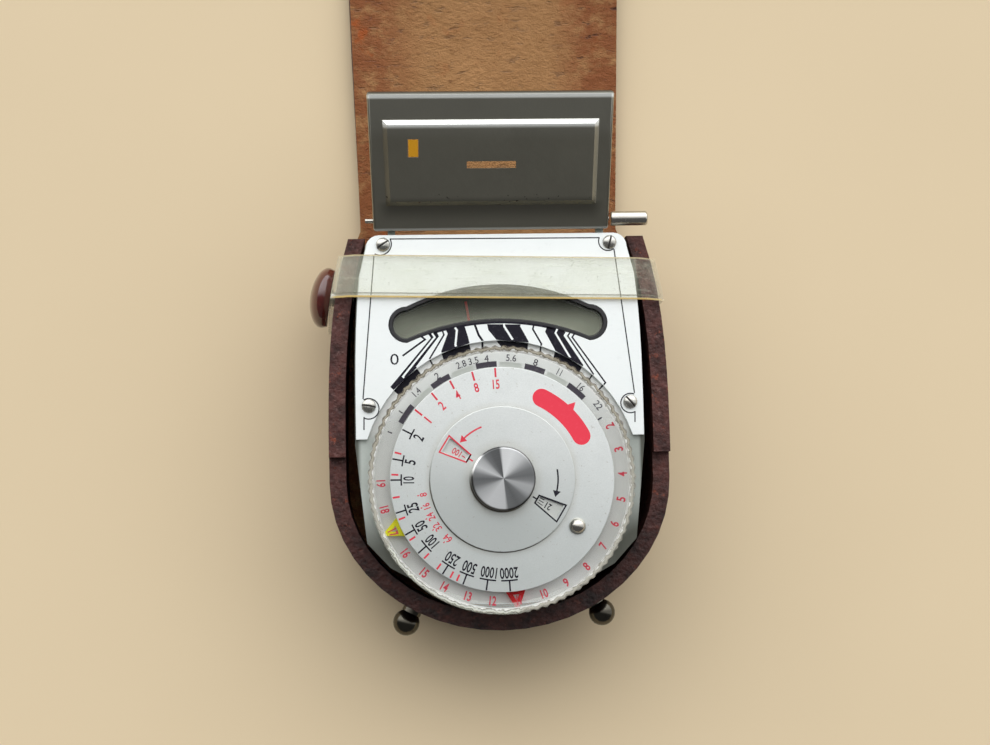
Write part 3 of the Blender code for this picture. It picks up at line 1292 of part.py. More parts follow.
def scallop_outline():
    """The edge of the clear dial: scallops for the thumb, and a smooth stretch at the foot."""
    count = SCALLOP_COUNT * SCALLOP_STEPS
    points = []
    for step in range(count):
        degrees = 360 * step / count
        wave = (1 - math.cos(math.radians(degrees * SCALLOP_COUNT))) / 2
        if SMOOTH_FROM < degrees < SMOOTH_TO:
            wave = 0
        points.append(polar(DIAL_RADIUS - SCALLOP_DEPTH * wave, degrees))
    return points


def clear_dial():
    """The clear aperture dial, with a raised rim round a sunk floor."""
    hole = circle((0, 0), KNOB_STEM_RADIUS + RUN, 20)
    dial = prism("clear_dial", scallop_outline(), DIAL_LOW, DIAL_TOP, [hole])
    link_part(dial, finish("clear_plastic", (0.86, 0.88, 0.84), 0.12, 0))
    top = DIAL_TOP + OVERRUN
    inner = DIAL_RIM_INNER - DIAL_RIM_SLOPE
    profile = [(0, top), (DIAL_RIM_INNER, top), (DIAL_RIM_INNER, DIAL_TOP), (inner, DIAL_FLOOR),
               (0, DIAL_FLOOR)]
    combine(dial, turned("sunk", profile, FINE_STEPS))


def pointer_plate():
    """The plate under the clear dial that carries the two hollow index triangles."""
    top = POINTER_LOW + POINTER_THICK
    hole = circle((0, 0), KNOB_STEM_RADIUS + RUN, 20)
    plate = prism("pointer_plate", circle((0, 0), POINTER_HUB), POINTER_LOW, top, [hole])
    link_part(plate, finish("index_paint", (0.45, 0.05, 0.05), 0.5, 0))
    middle = (POINTER_BASE_RADIUS + POINTER_TIP_RADIUS) / 2
    inner = KNOB_STEM_RADIUS + OVERRUN
    for angle in POINTER_ANGLES:
        outline = [(inner, -POINTER_ARM_HALF), (POINTER_BASE_RADIUS, -POINTER_ARM_HALF),
                   (POINTER_BASE_RADIUS, -POINTER_HALF_WIDTH), (POINTER_TIP_RADIUS, 0),
                   (POINTER_BASE_RADIUS, POINTER_HALF_WIDTH),
                   (POINTER_BASE_RADIUS, POINTER_ARM_HALF), (inner, POINTER_ARM_HALF)]
        centroid = POINTER_BASE_RADIUS + (POINTER_TIP_RADIUS - POINTER_BASE_RADIUS) / 3
        opening = [(centroid + (x - centroid) * POINTER_HOLE_SHARE, y * POINTER_HOLE_SHARE)
                   for x, y in outline[2:5]]
        turn = Matrix.Rotation(math.radians(angle), 4, "Z")
        arm = prism("arm", outline, POINTER_LOW, top, [opening])
        combine(plate, placed(arm, turn), "UNION")


def shutter_disc():
    """The shutter-speed disc with its small domed handle pin."""
    place = polar(HANDLE_RADIUS, HANDLE_ANGLE)
    holes = [circle((0, 0), KNOB_STEM_RADIUS + RUN, 20),
             circle(place, HANDLE_STEM_RADIUS + RUN, SMALL_STEPS)]
    disc = prism("shutter_disc", circle((0, 0), SHUTTER_RADIUS, FINE_STEPS), SHUTTER_LOW,
                 SHUTTER_TOP, holes)
    link_part(disc, satin_silver())
    low = SHUTTER_TOP + SLIP
    crown = []
    for step in range(6):
        angle = math.radians(90) * step / 5
        rise = HANDLE_HEAD_HEIGHT * math.cos(angle)
        crown.append((HANDLE_HEAD_RADIUS * math.sin(angle), low + rise))
    profile = crown + [(HANDLE_STEM_RADIUS, low), (HANDLE_STEM_RADIUS, SHUTTER_LOW),
                       (0, SHUTTER_LOW)]
    pin = turned("handle_pin", profile, 20)
    link_part(placed(pin, Matrix.Translation((*place, 0))), bright_steel())


def index_disc():
    """The film-speed disc, with its two windows."""
    holes = [circle((0, 0), KNOB_STEM_RADIUS + RUN, 20)]
    for angle in INDEX_WINDOW_ANGLES:
        holes.append([polar(INDEX_WINDOW_INNER, angle - INDEX_WINDOW_HALF_ANGLE),
                      polar(INDEX_WINDOW_OUTER, angle - INDEX_WINDOW_HALF_ANGLE),
                      polar(INDEX_WINDOW_OUTER, angle + INDEX_WINDOW_HALF_ANGLE),
                      polar(INDEX_WINDOW_INNER, angle + INDEX_WINDOW_HALF_ANGLE)])
    disc = prism("index_disc", circle((0, 0), INDEX_RADIUS, 48), INDEX_LOW, INDEX_TOP, holes)
    link_part(disc, satin_silver())


def dial_knob():
    """The turned knob, whose stem carries the index disc and the pointer plate."""
    bore = POST_RADIUS + RUN
    bore_top = KNOB_TOP - KNOB_CROWN
    profile = [(0, KNOB_TOP), (KNOB_RADIUS - KNOB_EDGE, KNOB_TOP),
               (KNOB_RADIUS, KNOB_TOP - KNOB_EDGE), (KNOB_RADIUS, KNOB_LOW),
               (KNOB_STEM_RADIUS, KNOB_LOW), (KNOB_STEM_RADIUS, POINTER_LOW), (bore, POINTER_LOW),
               (bore, bore_top), (0, bore_top)]
    link_part(turned("dial_knob", profile, 40), bright_steel())


def lid_box(grow):
    """The four sides and the skin of the lid, or its hollow when grow is negative."""
    near = -(PIN_RADIUS + RUN + EYE_WALL + RUN + LID_SKIN)
    half = LID_HALF_WIDTH + grow
    return near - grow, LID_LENGTH + grow, half


def lid_levels():
    """How far the lid's flange and its skin lie from the hinge axis."""
    inner = PIN_RADIUS + RUN + EYE_WALL + RUN
    return inner - LID_FLANGE, inner, inner + LID_SKIN


def panel(name, grow, base, rise):
    """The raised middle panel with mitred bevels, as a solid or as the hollow under it."""
    near, far, half = lid_box(0)
    low = (-(half - PANEL_SIDE) - grow, near + PANEL_NEAR - grow)
    high = (half - PANEL_SIDE + grow, far - PANEL_FAR + grow)
    outline = box_outline(low, high)
    solid = prism(name, outline, base, base + rise)
    for vertex in solid.data.vertices:
        if vertex.co.z > base + rise / 2:
            vertex.co.x -= math.copysign(PANEL_BEVEL, vertex.co.x)
            vertex.co.y -= math.copysign(PANEL_BEVEL, vertex.co.y - (low[1] + high[1]) / 2)
    return solid


def flared(item):
    """Widen a part of the lid evenly towards the lid's free edge."""
    for vertex in item.data.vertices:
        reach = max(vertex.co.y, 0) / LID_LENGTH
        vertex.co.x *= 1 + LID_FLARE / LID_HALF_WIDTH * reach
    return item


def lid():
    """The pressed lid of the cell, standing open on its pin, with its slot and amber mark."""
    axis = axis_empty("lid_axis", (0, HINGE_Y, HINGE_Z), (math.radians(HINGE_TILT), 0, 0))
    shift = Matrix.Translation((-LID_SHIFT, 0, 0))
    flange, inner, outer = lid_levels()
    near, far, half = lid_box(0)
    shell = placed(flared(block("lid", (-half, near, flange), (half, far, outer))), shift)
    link_part(shell, finish("grey_enamel", (0.20, 0.20, 0.18), 0.35, 0.8), axis)
    bevel = shell.modifiers.new("rounded", "BEVEL")
    bevel.width = LID_ROUND
    bevel.segments = 2
    raised = panel("panel", 0, outer - LID_SKIN / 2, PANEL_RISE + LID_SKIN / 2)
    combine(shell, placed(flared(raised), shift), "UNION")
    for side in (-1, 1):
        gap = LUG_THICK / 2 + SEAT
        notch = block("notch", (side * LUG_X - gap, near - OVERRUN, flange - OVERRUN),
                      (side * LUG_X + gap, 0, inner))
        combine(shell, notch)
    near, far, half = lid_box(-LID_SKIN)
    hollow = block("hollow", (-half, near, flange - OVERRUN), (half, far, inner))
    combine(shell, placed(flared(hollow), shift))
    pressing = panel("pressing", -LID_SKIN, inner - LID_SKIN / 2, PANEL_RISE + LID_SKIN / 2)
    combine(shell, placed(flared(pressing), shift))
    top = outer + PANEL_RISE + OVERRUN
    slot = block("slot", (-SLOT_LENGTH / 2, SLOT_Y - SLOT_WIDTH / 2, inner - OVERRUN),
                 (SLOT_LENGTH / 2, SLOT_Y + SLOT_WIDTH / 2, top))
    combine(shell, placed(slot, shift))
    half_width = MARK_WIDTH / 2
    half_length = MARK_LENGTH / 2
    hole = block("mark", (-MARK_X - half_width, MARK_Y - half_length, inner - OVERRUN),
                 (-MARK_X + half_width, MARK_Y + half_length, top))
    combine(shell, placed(hole, shift))
    reach = LID_HALF_WIDTH + OVERRUN
    pin_hole = post("pin", (0, 0), PIN_RADIUS + RUN / 2, -reach, reach)
    combine(shell, placed(pin_hole, shift @ ALONG_X))
    skin_low = inner + PANEL_RISE
    mark = block("lid_mark", (RUN - MARK_X - half_width, RUN + MARK_Y - half_length, skin_low),
                 (-RUN - MARK_X + half_width, MARK_Y + half_length - RUN, skin_low + LID_SKIN))
    link_part(placed(mark, shift), finish("amber", (0.58, 0.28, 0.01), 0.3, 0), axis)
    knob_x = LID_HALF_WIDTH + SEAT
    end = LID_HALF_WIDTH + PIN_NUB
    profile = [(0, knob_x), (PIN_RADIUS, knob_x), (PIN_RADIUS, -end), (0, -end)]
    pin = turned("hinge_pin", profile, SMALL_STEPS)
    link_part(placed(pin, shift @ ALONG_X), bright_steel(), axis)
    knob_low = knob_x + SEAT
    knob_top = knob_low + HINGE_KNOB_LENGTH
    profile = [(0, knob_top), (HINGE_KNOB_RADIUS - HINGE_KNOB_ROUND, knob_top),
               (HINGE_KNOB_RADIUS, knob_top - HINGE_KNOB_ROUND), (HINGE_KNOB_RADIUS, knob_low),
               (0, knob_low)]
    knob = turned("hinge_knob", profile, 20)
    link_part(placed(knob, shift @ ALONG_X), bright_steel(), axis)


def build():
    """Model the whole meter in its case."""
    clear_scene()
    case_back()
    case_wall()
    case_flap()
    ball_studs()
    holding_band()
    snap_fastener()
    band_rivet()
    housing()
    rear_plate()
    rear_screws()
    face_plate()
    plate_screws()
    needle_window()
    cell_layers()
    cell_contacts()
    wiring()
    magnet_and_core()
    needle_axis = axis_empty("needle_axis", (0, 0, 0), (0, 0, math.radians(NEEDLE_READING)))
    moving_coil(needle_axis)
    hairspring("hairspring_upper", HAIRSPRING_Z, BRIDGE_PILLAR_X - BRIDGE_PILLAR_RADIUS - SEAT)
    hairspring("hairspring_lower", (LEVER_TOP + COIL_LOW) / 2, BASE_RIM_INNER - SEAT)
    bridge()
    zero_setting()
    dial_post()
    clear_dial()
    pointer_plate()
    shutter_disc()
    index_disc()
    dial_knob()
    lid()


build()
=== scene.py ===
# %% [markdown]
# # A selenium light meter in its leather case
# The meter lies on its back in its open case. Its calculator dial looks up, the lid over its
# light cell stands open, and the flap of the case is folded back flat behind it.
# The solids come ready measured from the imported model. This lesson dresses them: it rounds the
# pressed and turned pieces, makes the leather sheet, draws the printed scales and mixes every
# finish.

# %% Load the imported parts
import json
import math

import bpy
from mathutils import Matrix, Vector

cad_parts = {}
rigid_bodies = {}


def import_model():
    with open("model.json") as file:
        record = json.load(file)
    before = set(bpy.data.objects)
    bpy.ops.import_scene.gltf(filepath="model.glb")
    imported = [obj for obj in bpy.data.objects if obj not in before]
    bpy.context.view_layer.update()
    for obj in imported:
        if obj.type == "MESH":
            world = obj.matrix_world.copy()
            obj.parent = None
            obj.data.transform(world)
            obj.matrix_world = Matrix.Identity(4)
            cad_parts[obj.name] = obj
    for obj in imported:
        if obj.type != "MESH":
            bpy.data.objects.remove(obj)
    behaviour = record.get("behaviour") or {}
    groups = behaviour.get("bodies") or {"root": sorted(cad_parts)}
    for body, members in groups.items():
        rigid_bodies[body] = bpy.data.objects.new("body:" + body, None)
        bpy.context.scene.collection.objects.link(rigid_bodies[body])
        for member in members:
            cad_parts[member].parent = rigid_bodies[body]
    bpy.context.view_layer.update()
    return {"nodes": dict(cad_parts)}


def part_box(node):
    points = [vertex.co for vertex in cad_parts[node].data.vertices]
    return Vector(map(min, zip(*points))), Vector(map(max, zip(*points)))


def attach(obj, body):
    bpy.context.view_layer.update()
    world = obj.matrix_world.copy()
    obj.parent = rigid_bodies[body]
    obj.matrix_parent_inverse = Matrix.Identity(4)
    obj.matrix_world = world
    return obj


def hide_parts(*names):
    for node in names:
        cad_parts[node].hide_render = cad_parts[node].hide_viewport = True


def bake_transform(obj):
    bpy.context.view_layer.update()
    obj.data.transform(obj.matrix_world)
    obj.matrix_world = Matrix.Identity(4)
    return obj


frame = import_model()
nodes = frame["nodes"]

# %% [markdown]
# ## The camera
# The picture was taken from a third of a metre above the dial, almost straight down. The camera
# could be pointed with a tracking constraint. Three plain turns after each other are used
# instead, because they also carry the slight roll that the picture has.

# %% Camera
# Blender counts in metres. Sizes below are in millimetres wherever they are multiplied by MM.
MM = 0.001


def picture_camera(place, yaw, pitch, roll, lens):
    """Hangs the camera over the meter and makes it the scene's own."""
    bpy.ops.object.select_all(action="DESELECT")
    bpy.ops.object.camera_add(location=place)
    camera = bpy.context.object
    camera.name = "picture_camera"
    camera.data.lens = lens
    camera.data.clip_start = 0.01
    turn = Matrix.Rotation(yaw, 4, "Y") @ Matrix.Rotation(pitch, 4, "X") @ Matrix.Rotation(roll, 4, "Z")
    camera.matrix_world = Matrix.Translation(place) @ turn
    bpy.context.scene.camera = camera
    return camera


camera = picture_camera(place=(-0.02119, -0.00854, 0.36748), yaw=-0.05989, pitch=0.08449,
                        roll=-0.02113, lens=65.45)
print("camera", round(camera.location.z / MM), "mm above the ground")

# %% [markdown]
# ## Mixing a finish
# A finish is a small graph of nodes. Wiring it by hand is slow to read, so two small classes
# let a finish be written as sums: a Wire is one output socket that adds, subtracts, multiplies
# and divides, and a Finish makes the nodes. Numbers alone are worked out before they get there.


# %% Wires and finishes
class Wire:
    """One output socket of a finish, used in sums as if it were a number."""

    def __init__(self, finish, socket):
        self.finish = finish
        self.socket = socket

    def math(self, operation, *others):
        return self.finish.sum(operation, self, *others)

    def __add__(self, other):
        return self.finish.sum("ADD", self, other)

    def __sub__(self, other):
        return self.finish.sum("SUBTRACT", self, other)

    def __rsub__(self, other):
        return self.finish.sum("SUBTRACT", other, self)

    def __mul__(self, other):
        return self.finish.sum("MULTIPLY", self, other)

    def __truediv__(self, other):
        return self.finish.sum("DIVIDE", self, other)

    __radd__ = __add__
    __rmul__ = __mul__


class Finish:
    """A material whose colour, gloss and grain are made of nodes."""

    def __init__(self, name, room=None):
        self.material = room or bpy.data.materials.new(name)
        self.material.use_nodes = True
        self.tree = self.material.node_tree
        self.shader = self.tree.nodes["Background" if room else "Principled BSDF"]

    def node(self, kind, settings=None, values=None, output=0):
        """Adds a node: first its settings, then the values or wires of its sockets."""
        made = self.tree.nodes.new(kind)
        for name, value in (settings or {}).items():
            if name == "stops":
                self.set_stops(made.color_ramp, value)
            else:
                setattr(made, name, value)
        for name, value in (values or {}).items():
            self.feed(made.inputs[name], value)
        return Wire(self, made.outputs[output])

    def sum(self, operation, *values):
        return self.node("ShaderNodeMath", {"operation": operation}, dict(enumerate(values)))

    def set_stops(self, ramp, stops):
        while len(ramp.elements) < len(stops):
            ramp.elements.new(1.0)
        for element, (position, tint) in zip(ramp.elements, stops):
            element.position = position
            element.color = tint

    def feed(self, socket, value):
        if isinstance(value, Wire):
            self.tree.links.new(value.socket, socket)
        else:
            socket.default_value = value

    def surface(self, **values):
        """Feeds the shader's own sockets; an underscore stands for a space."""
        for name, value in values.items():
            self.feed(self.shader.inputs[name.replace("_", " ")], value)
        return self.material


def tint(red, green, blue):
    """A colour as a paint chart gives it, from 0 to 255, made linear for the shader."""
    shares = [value / 255 for value in (red, green, blue)]
    linear = [s / 12.92 if s <= 0.04045 else ((s + 0.055) / 1.055) ** 2.4 for s in shares]
    return (*linear, 1.0)


# %% [markdown]
# ## Patterns
# Every finish below is built from the same few patterns: clouds of noise, cells, a soft step
# from one value to the next, a mix of two colours, and a bump. They read the place on the piece
# in metres, so a grain has its true size whatever the piece is.


# %% Patterns
def here(finish, stretch=(1, 1, 1), turn=(0, 0, 0), shift=(0, 0, 0)):
    """The place on the piece in metres, stretched, turned or moved."""
    spot = finish.node("ShaderNodeTexCoord", output="Object")
    if stretch == (1, 1, 1) and turn == (0, 0, 0) and shift == (0, 0, 0):
        return spot
    values = {"Vector": spot, "Location": shift, "Rotation": turn, "Scale": stretch}
    return finish.node("ShaderNodeMapping", values=values)


def clouds(finish, size, detail=3.0, harshness=0.55, spot=None):
    """Noise whose blots are about size metres across."""
    values = {"Vector": spot or here(finish), "Scale": 1 / size, "Detail": detail, "Roughness": harshness}
    return finish.node("ShaderNodeTexNoise", values=values)


def cells(finish, size, feature="F1", spot=None):
    """Rounded cells about size metres across, dark in their middles."""
    values = {"Vector": spot or here(finish), "Scale": 1 / size}
    return finish.node("ShaderNodeTexVoronoi", {"feature": feature}, values)


def step(finish, value, start, end):
    """0 before start, 1 after end, and a soft rise between them."""
    values = {"Value": value, "From Min": start, "From Max": end}
    return finish.node("ShaderNodeMapRange", {"interpolation_type": "SMOOTHSTEP"}, values)


def blend(finish, under, over, share):
    """Two colours mixed: share 0 is the one under, share 1 the one over."""
    return finish.node("ShaderNodeMix", {"data_type": "RGBA"}, {0: share, 6: under, 7: over}, 2)


def bump(finish, height, depth, strength):
    """Turns a height into a bumpy surface, depth metres deep."""
    values = {"Height": height, "Distance": depth, "Strength": strength}
    return finish.node("ShaderNodeBump", values=values)


def parts_of(finish, spot=None):
    """The x, y and z of a place as three wires."""
    split = finish.node("ShaderNodeSeparateXYZ", values={"Vector": spot or here(finish)})
    outputs = split.socket.node.outputs
    return [Wire(finish, outputs[axis]) for axis in range(3)]


def round_the_dial(finish):
    """Distance from the dial's axis, in metres, and the angle round it, in radians."""
    x, y, _ = parts_of(finish)
    return (x * x + y * y).math("SQRT"), y.math("ARCTAN2", x)


# %% [markdown]
# ## The table and the light
# The meter lies on a plain warm sheet. The light comes from a window behind the flap, and the
# side of the viewer is dim: that is why the tilted lid looks dark while its upper edges shine.
# An area lamp near the object would light the sheet unevenly. So the room itself is bright
# towards the window and dim behind the viewer.

# %% Table and room
# Both in metres.
TABLE_WIDTH = 6.0
TABLE_DROP = 0.00005


def table_top():
    """A plain warm sheet, a little lower than the leather so that the two can't flicker."""
    finish = Finish("warm_table")
    mottle = clouds(finish, 0.05, 2.0)
    colour = blend(finish, tint(223, 204, 171), tint(219, 200, 167), mottle)
    finish.surface(Base_Color=colour, Roughness=0.9, Specular_IOR_Level=0.1)
    bpy.ops.object.select_all(action="DESELECT")
    bpy.ops.mesh.primitive_plane_add(size=TABLE_WIDTH, location=(0, 0, -TABLE_DROP))
    table = bpy.context.object
    table.name = "table_top"
    table.data.materials.append(finish.material)


def window_room(dim, middle, bright):
    """A room whose light grows from the viewer's side to the window behind the flap."""
    world = bpy.data.worlds.new("window_room")
    bpy.context.scene.world = world
    room = Finish("window_room", world)
    across, towards, _ = parts_of(room, room.node("ShaderNodeTexCoord", output="Generated"))
    overhead = step(room, towards + across * 0.25, -0.13, 0.12) * middle
    level = overhead + step(room, towards, 0.10, 0.60) * bright + dim
    seen = room.node("ShaderNodeLightPath", output="Is Camera Ray")
    room.surface(Color=blend(room, tint(255, 255, 255), tint(219, 200, 168), seen),
                 Strength=level * (1 - seen) + seen)


table_top()
window_room(dim=0.12, middle=0.89, bright=1.60)
bpy.context.scene.view_settings.view_transform = "Standard"
print("table and light ready")

# %% [markdown]
# ## Rounding the solids
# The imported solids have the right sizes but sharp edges. Real pressed, cast and turned pieces
# have small rounds that catch the light. Each visible solid is copied, its loose triangles are
# welded and joined to whole faces, and a Bevel modifier rounds the edges. The copy then stands
# for the solid. An operator works on all that is selected, so a piece is always picked first.


# %% Pick and weld
# In metres: points closer than this are one point.
WELD = 0.000001


def pick(piece):
    """Selects that piece alone and makes it the active one."""
    bpy.ops.object.select_all(action="DESELECT")
    piece.select_set(True)
    bpy.context.view_layer.objects.active = piece


def weld(distance=WELD):
    """Opens the active piece and merges its points that lie on each other."""
    bpy.ops.object.mode_set(mode="EDIT")
    bpy.ops.mesh.select_all(action="SELECT")
    bpy.ops.mesh.remove_doubles(threshold=distance)


def weld_outwards(distance=WELD):
    """Welds the active piece, turns its faces outwards and closes it again."""
    weld(distance)
    bpy.ops.mesh.normals_make_consistent(inside=False)
    bpy.ops.object.mode_set(mode="OBJECT")


# %% Round a solid
# In degrees: faces that bend less are one face, and edges that bend less are shaded smooth.
SAME_FACE = 0.5
SMOOTH_BELOW = 35.0


def softened(node, width, segments=2, angle=28.0):
    """A copy of a solid with its edges rounded by width millimetres."""
    piece = bpy.data.objects.new(node + "_soft", nodes[node].data.copy())
    bpy.context.scene.collection.objects.link(piece)
    pick(piece)
    bpy.ops.mesh.customdata_custom_splitnormals_clear()
    weld()
    bpy.ops.mesh.dissolve_limited(angle_limit=math.radians(SAME_FACE))
    bpy.ops.object.mode_set(mode="OBJECT")
    if width:
        rounding = piece.modifiers.new("rounding", "BEVEL")
        rounding.width = width * MM
        rounding.segments = segments
        rounding.limit_method = "ANGLE"
        rounding.angle_limit = math.radians(angle)
        bpy.ops.object.modifier_apply(modifier=rounding.name)
    bpy.ops.object.shade_smooth_by_angle(angle=math.radians(SMOOTH_BELOW))
    flatness = piece.modifiers.new("flatness", "WEIGHTED_NORMAL")
    flatness.keep_sharp = True
    bpy.ops.object.modifier_apply(modifier=flatness.name)
    return piece


def dress(piece, finish, body, slot, *solids):
    """Gives a piece its finish, its body and the solids that it stands for."""
    piece.data.materials.clear()
    piece.data.materials.append(finish)
    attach(piece, body)
    if solids:
        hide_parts(*solids)
    return piece


# %% [markdown]
# ## Metals
# Plain bare metal shares one recipe: a base colour that wanders a little, a few darker spots of
# dirt, and a fine grain that scatters the gloss. Only the colours, the gloss and the direction of
# the grain change from one metal to the next. The housing, the lid, the plate's screws, the discs
# and the knob show more than that, and get finishes of their own further down.


# %% Metal finishes
def bare_metal(name, bright, dull, gloss, metallic=1.0, grain=(1, 1, 1), grain_size=0.0004, pits=0.05):
    """Metal in two close tones with a fine grain and a few dull spots."""
    finish = Finish(name)
    wander = clouds(finish, 0.006)
    fine = clouds(finish, grain_size, 2.0, 0.6, here(finish, stretch=grain))
    spots = step(finish, clouds(finish, 0.0011, 2.0), 0.64, 0.72)
    colour = blend(finish, bright, dull, wander * 0.6 + fine * 0.4)
    colour = blend(finish, colour, [c * 0.5 for c in dull[:3]] + [1.0], spots * pits)
    roughness = fine * 0.14 + wander * 0.1 + (gloss - 0.12)
    finish.surface(Base_Color=colour, Roughness=roughness, Metallic=metallic,
                   Normal=bump(finish, fine, 0.00002, 0.4))
    return finish.material


METALS = {
    "silver_cast": bare_metal("cast_silver_body", tint(206, 213, 207), tint(184, 192, 186), 0.42, 0.6),
    "silver_plate": bare_metal("satin_silver_plate", tint(246, 250, 249), tint(236, 241, 240), 0.42, 0.5,
                               grain=(0.12, 1, 1), grain_size=0.0003),
    "steel": bare_metal("bright_steel", tint(205, 203, 196), tint(160, 156, 148), 0.24),
    "dark_chrome": bare_metal("worn_dark_chrome", tint(104, 101, 92), tint(46, 43, 37), 0.18, pits=0.5),
    "brass": bare_metal("aged_brass", tint(196, 160, 92), tint(150, 116, 60), 0.34),
    "copper": bare_metal("coil_copper", tint(184, 110, 70), tint(140, 76, 44), 0.4,
                         grain=(1, 1, 6), grain_size=0.0003),
    "iron": bare_metal("soft_iron", tint(120, 118, 116), tint(84, 80, 78), 0.45),
    "magnet": bare_metal("cast_magnet", tint(96, 96, 100), tint(62, 62, 66), 0.55, 0.8),
    "lid_grey": bare_metal("satin_lid_metal", tint(150, 147, 134), tint(134, 132, 120), 0.34, 0.95,
                           grain=(1, 0.2, 1), grain_size=0.0003, pits=0.01),
}
print(len(METALS), "metal finishes mixed")

# %% [markdown]
# ## Plastics, card and stone
# The small inner pieces and the trim get their own finishes: black lacquer on the window rim
# and the cell frame, pale card for the needle's ground, red lacquer on the needle, board,
# glassy selenium, ruby jewels and sleeved wire.


# %% Other small finishes
def lacquer(name, colour, dusty, gloss, coat=0.0):
    """A painted or moulded surface with faint dust and a slight orange-peel."""
    finish = Finish(name)
    peel = clouds(finish, 0.0012)
    dust = step(finish, clouds(finish, 0.0009, 4.0, 0.7), 0.5, 0.78)
    finish.surface(
        Base_Color=blend(finish, colour, dusty, dust * 0.5),
        Roughness=peel * 0.12 + (gloss - 0.05),
        Coat_Weight=coat,
        Normal=bump(finish, peel, 0.00002, 0.5),
    )
    return finish.material


SMALLS = {
    "black": lacquer("black_lacquer", tint(26, 26, 30), tint(60, 60, 62), 0.3),
    "card": lacquer("pale_scale_card", tint(206, 208, 192), tint(180, 182, 166), 0.7),
    "needle_red": lacquer("red_needle_lacquer", tint(236, 16, 34), tint(220, 36, 48), 0.4),
    "maroon": lacquer("maroon_snap_enamel", tint(78, 26, 22), tint(104, 44, 36), 0.16, 0.8),
    "amber": lacquer("amber_mark_paint", tint(206, 146, 12), tint(190, 130, 20), 0.45),
    "selenium": lacquer("grey_selenium", tint(70, 74, 82), tint(96, 98, 104), 0.28, 0.3),
    "board": lacquer("brown_board", tint(120, 84, 50), tint(96, 66, 40), 0.65),
    "ruby": lacquer("ruby_jewel", tint(150, 20, 50), tint(170, 40, 70), 0.1, 1.0),
    "red_wire": lacquer("red_sleeve", tint(170, 40, 36), tint(140, 40, 36), 0.5),
    "lens": lacquer("ribbed_cell_glass", tint(170, 178, 172), tint(150, 156, 150), 0.12, 0.8),
}
SLOT_FINISHES = {**METALS, **SMALLS}
for node in nodes.values():
    slot_name = node.material_slots[0].material.name.split(".")[0]
    if slot_name in SLOT_FINISHES:
        node.material_slots[0].material = SLOT_FINISHES[slot_name]
print(len(SMALLS), "small finishes mixed")

# %% [markdown]
# ## Leather
# The case is one hide with two faces. Its grain side is dark brown, polished where hands rub it
# and scuffed to pale and rusty specks. Its flesh side is raw suede, tan with a short nap and old
# stains. The grain could be carved into the mesh, but a pebble is under a millimetre wide. So it
# is a bump of small rounded cells over fine noise.


# %% Grain side
def along_hide(finish):
    """The place on the flat hide in metres, kept in the sheet's own flat map."""
    return finish.node("ShaderNodeUVMap", {"uv_map": "flat_hide"})


def grain_leather(name, spot_of):
    """Dark brown grain side, rubbed pale and rusty in spots, with painted shade towards the foot."""
    finish = Finish(name)
    spot = spot_of(finish)
    pebble = cells(finish, 0.0008, "SMOOTH_F1", spot)
    fine = clouds(finish, 0.0004, 4.0, 0.65, spot)
    patch = clouds(finish, 0.0060, 4.0, 0.6, spot)
    worn = step(finish, clouds(finish, 0.0030, 5.0, 0.65, spot), 0.32, 0.68)
    colour = blend(finish, tint(36, 19, 17), tint(94, 55, 50), worn * 0.6 + patch * 0.25 + pebble * 0.3)
    scuffs = step(finish, clouds(finish, 0.0009, 4.0, 0.7, spot), 0.56, 0.70)
    colour = blend(finish, colour, tint(134, 103, 99), scuffs * 0.45)
    rust = step(finish, clouds(finish, 0.0022, 5.0, 0.75, spot), 0.57, 0.68)
    colour = blend(finish, colour, tint(158, 78, 50), rust * 0.55)
    _, y, _ = parts_of(finish, spot)
    # Painted shade: the leather darkens from 6 mm above the dial's axis to 20 mm below it.
    dark = blend(finish, tint(16, 7, 6), tint(84, 42, 34), worn * 0.35 + scuffs * 0.3 + rust * 0.3)
    colour = blend(finish, colour, dark, step(finish, y, 0.006, -0.020) * 0.88)
    height = pebble * 0.7 + fine * 0.6
    finish.surface(Base_Color=colour, Roughness=fine * 0.25 + patch * 0.2 + 0.30,
                   Specular_IOR_Level=0.28, Normal=bump(finish, height, 0.00030, 0.9))
    return finish.material


wall_leather = grain_leather("brown_wall_leather", here)
hide_leather = grain_leather("brown_hide_leather", along_hide)
print("leather ready")


# %% [markdown]
# ## Suede
# The flesh side is what shows of the flap: raw suede with short fibres, darker at its sides where
# hands held it, and with old pits along the right. One noise would look like sand. So the fibres,
# the nap, the broad tone, the stains and the pits are noises of their own, each at its own size.


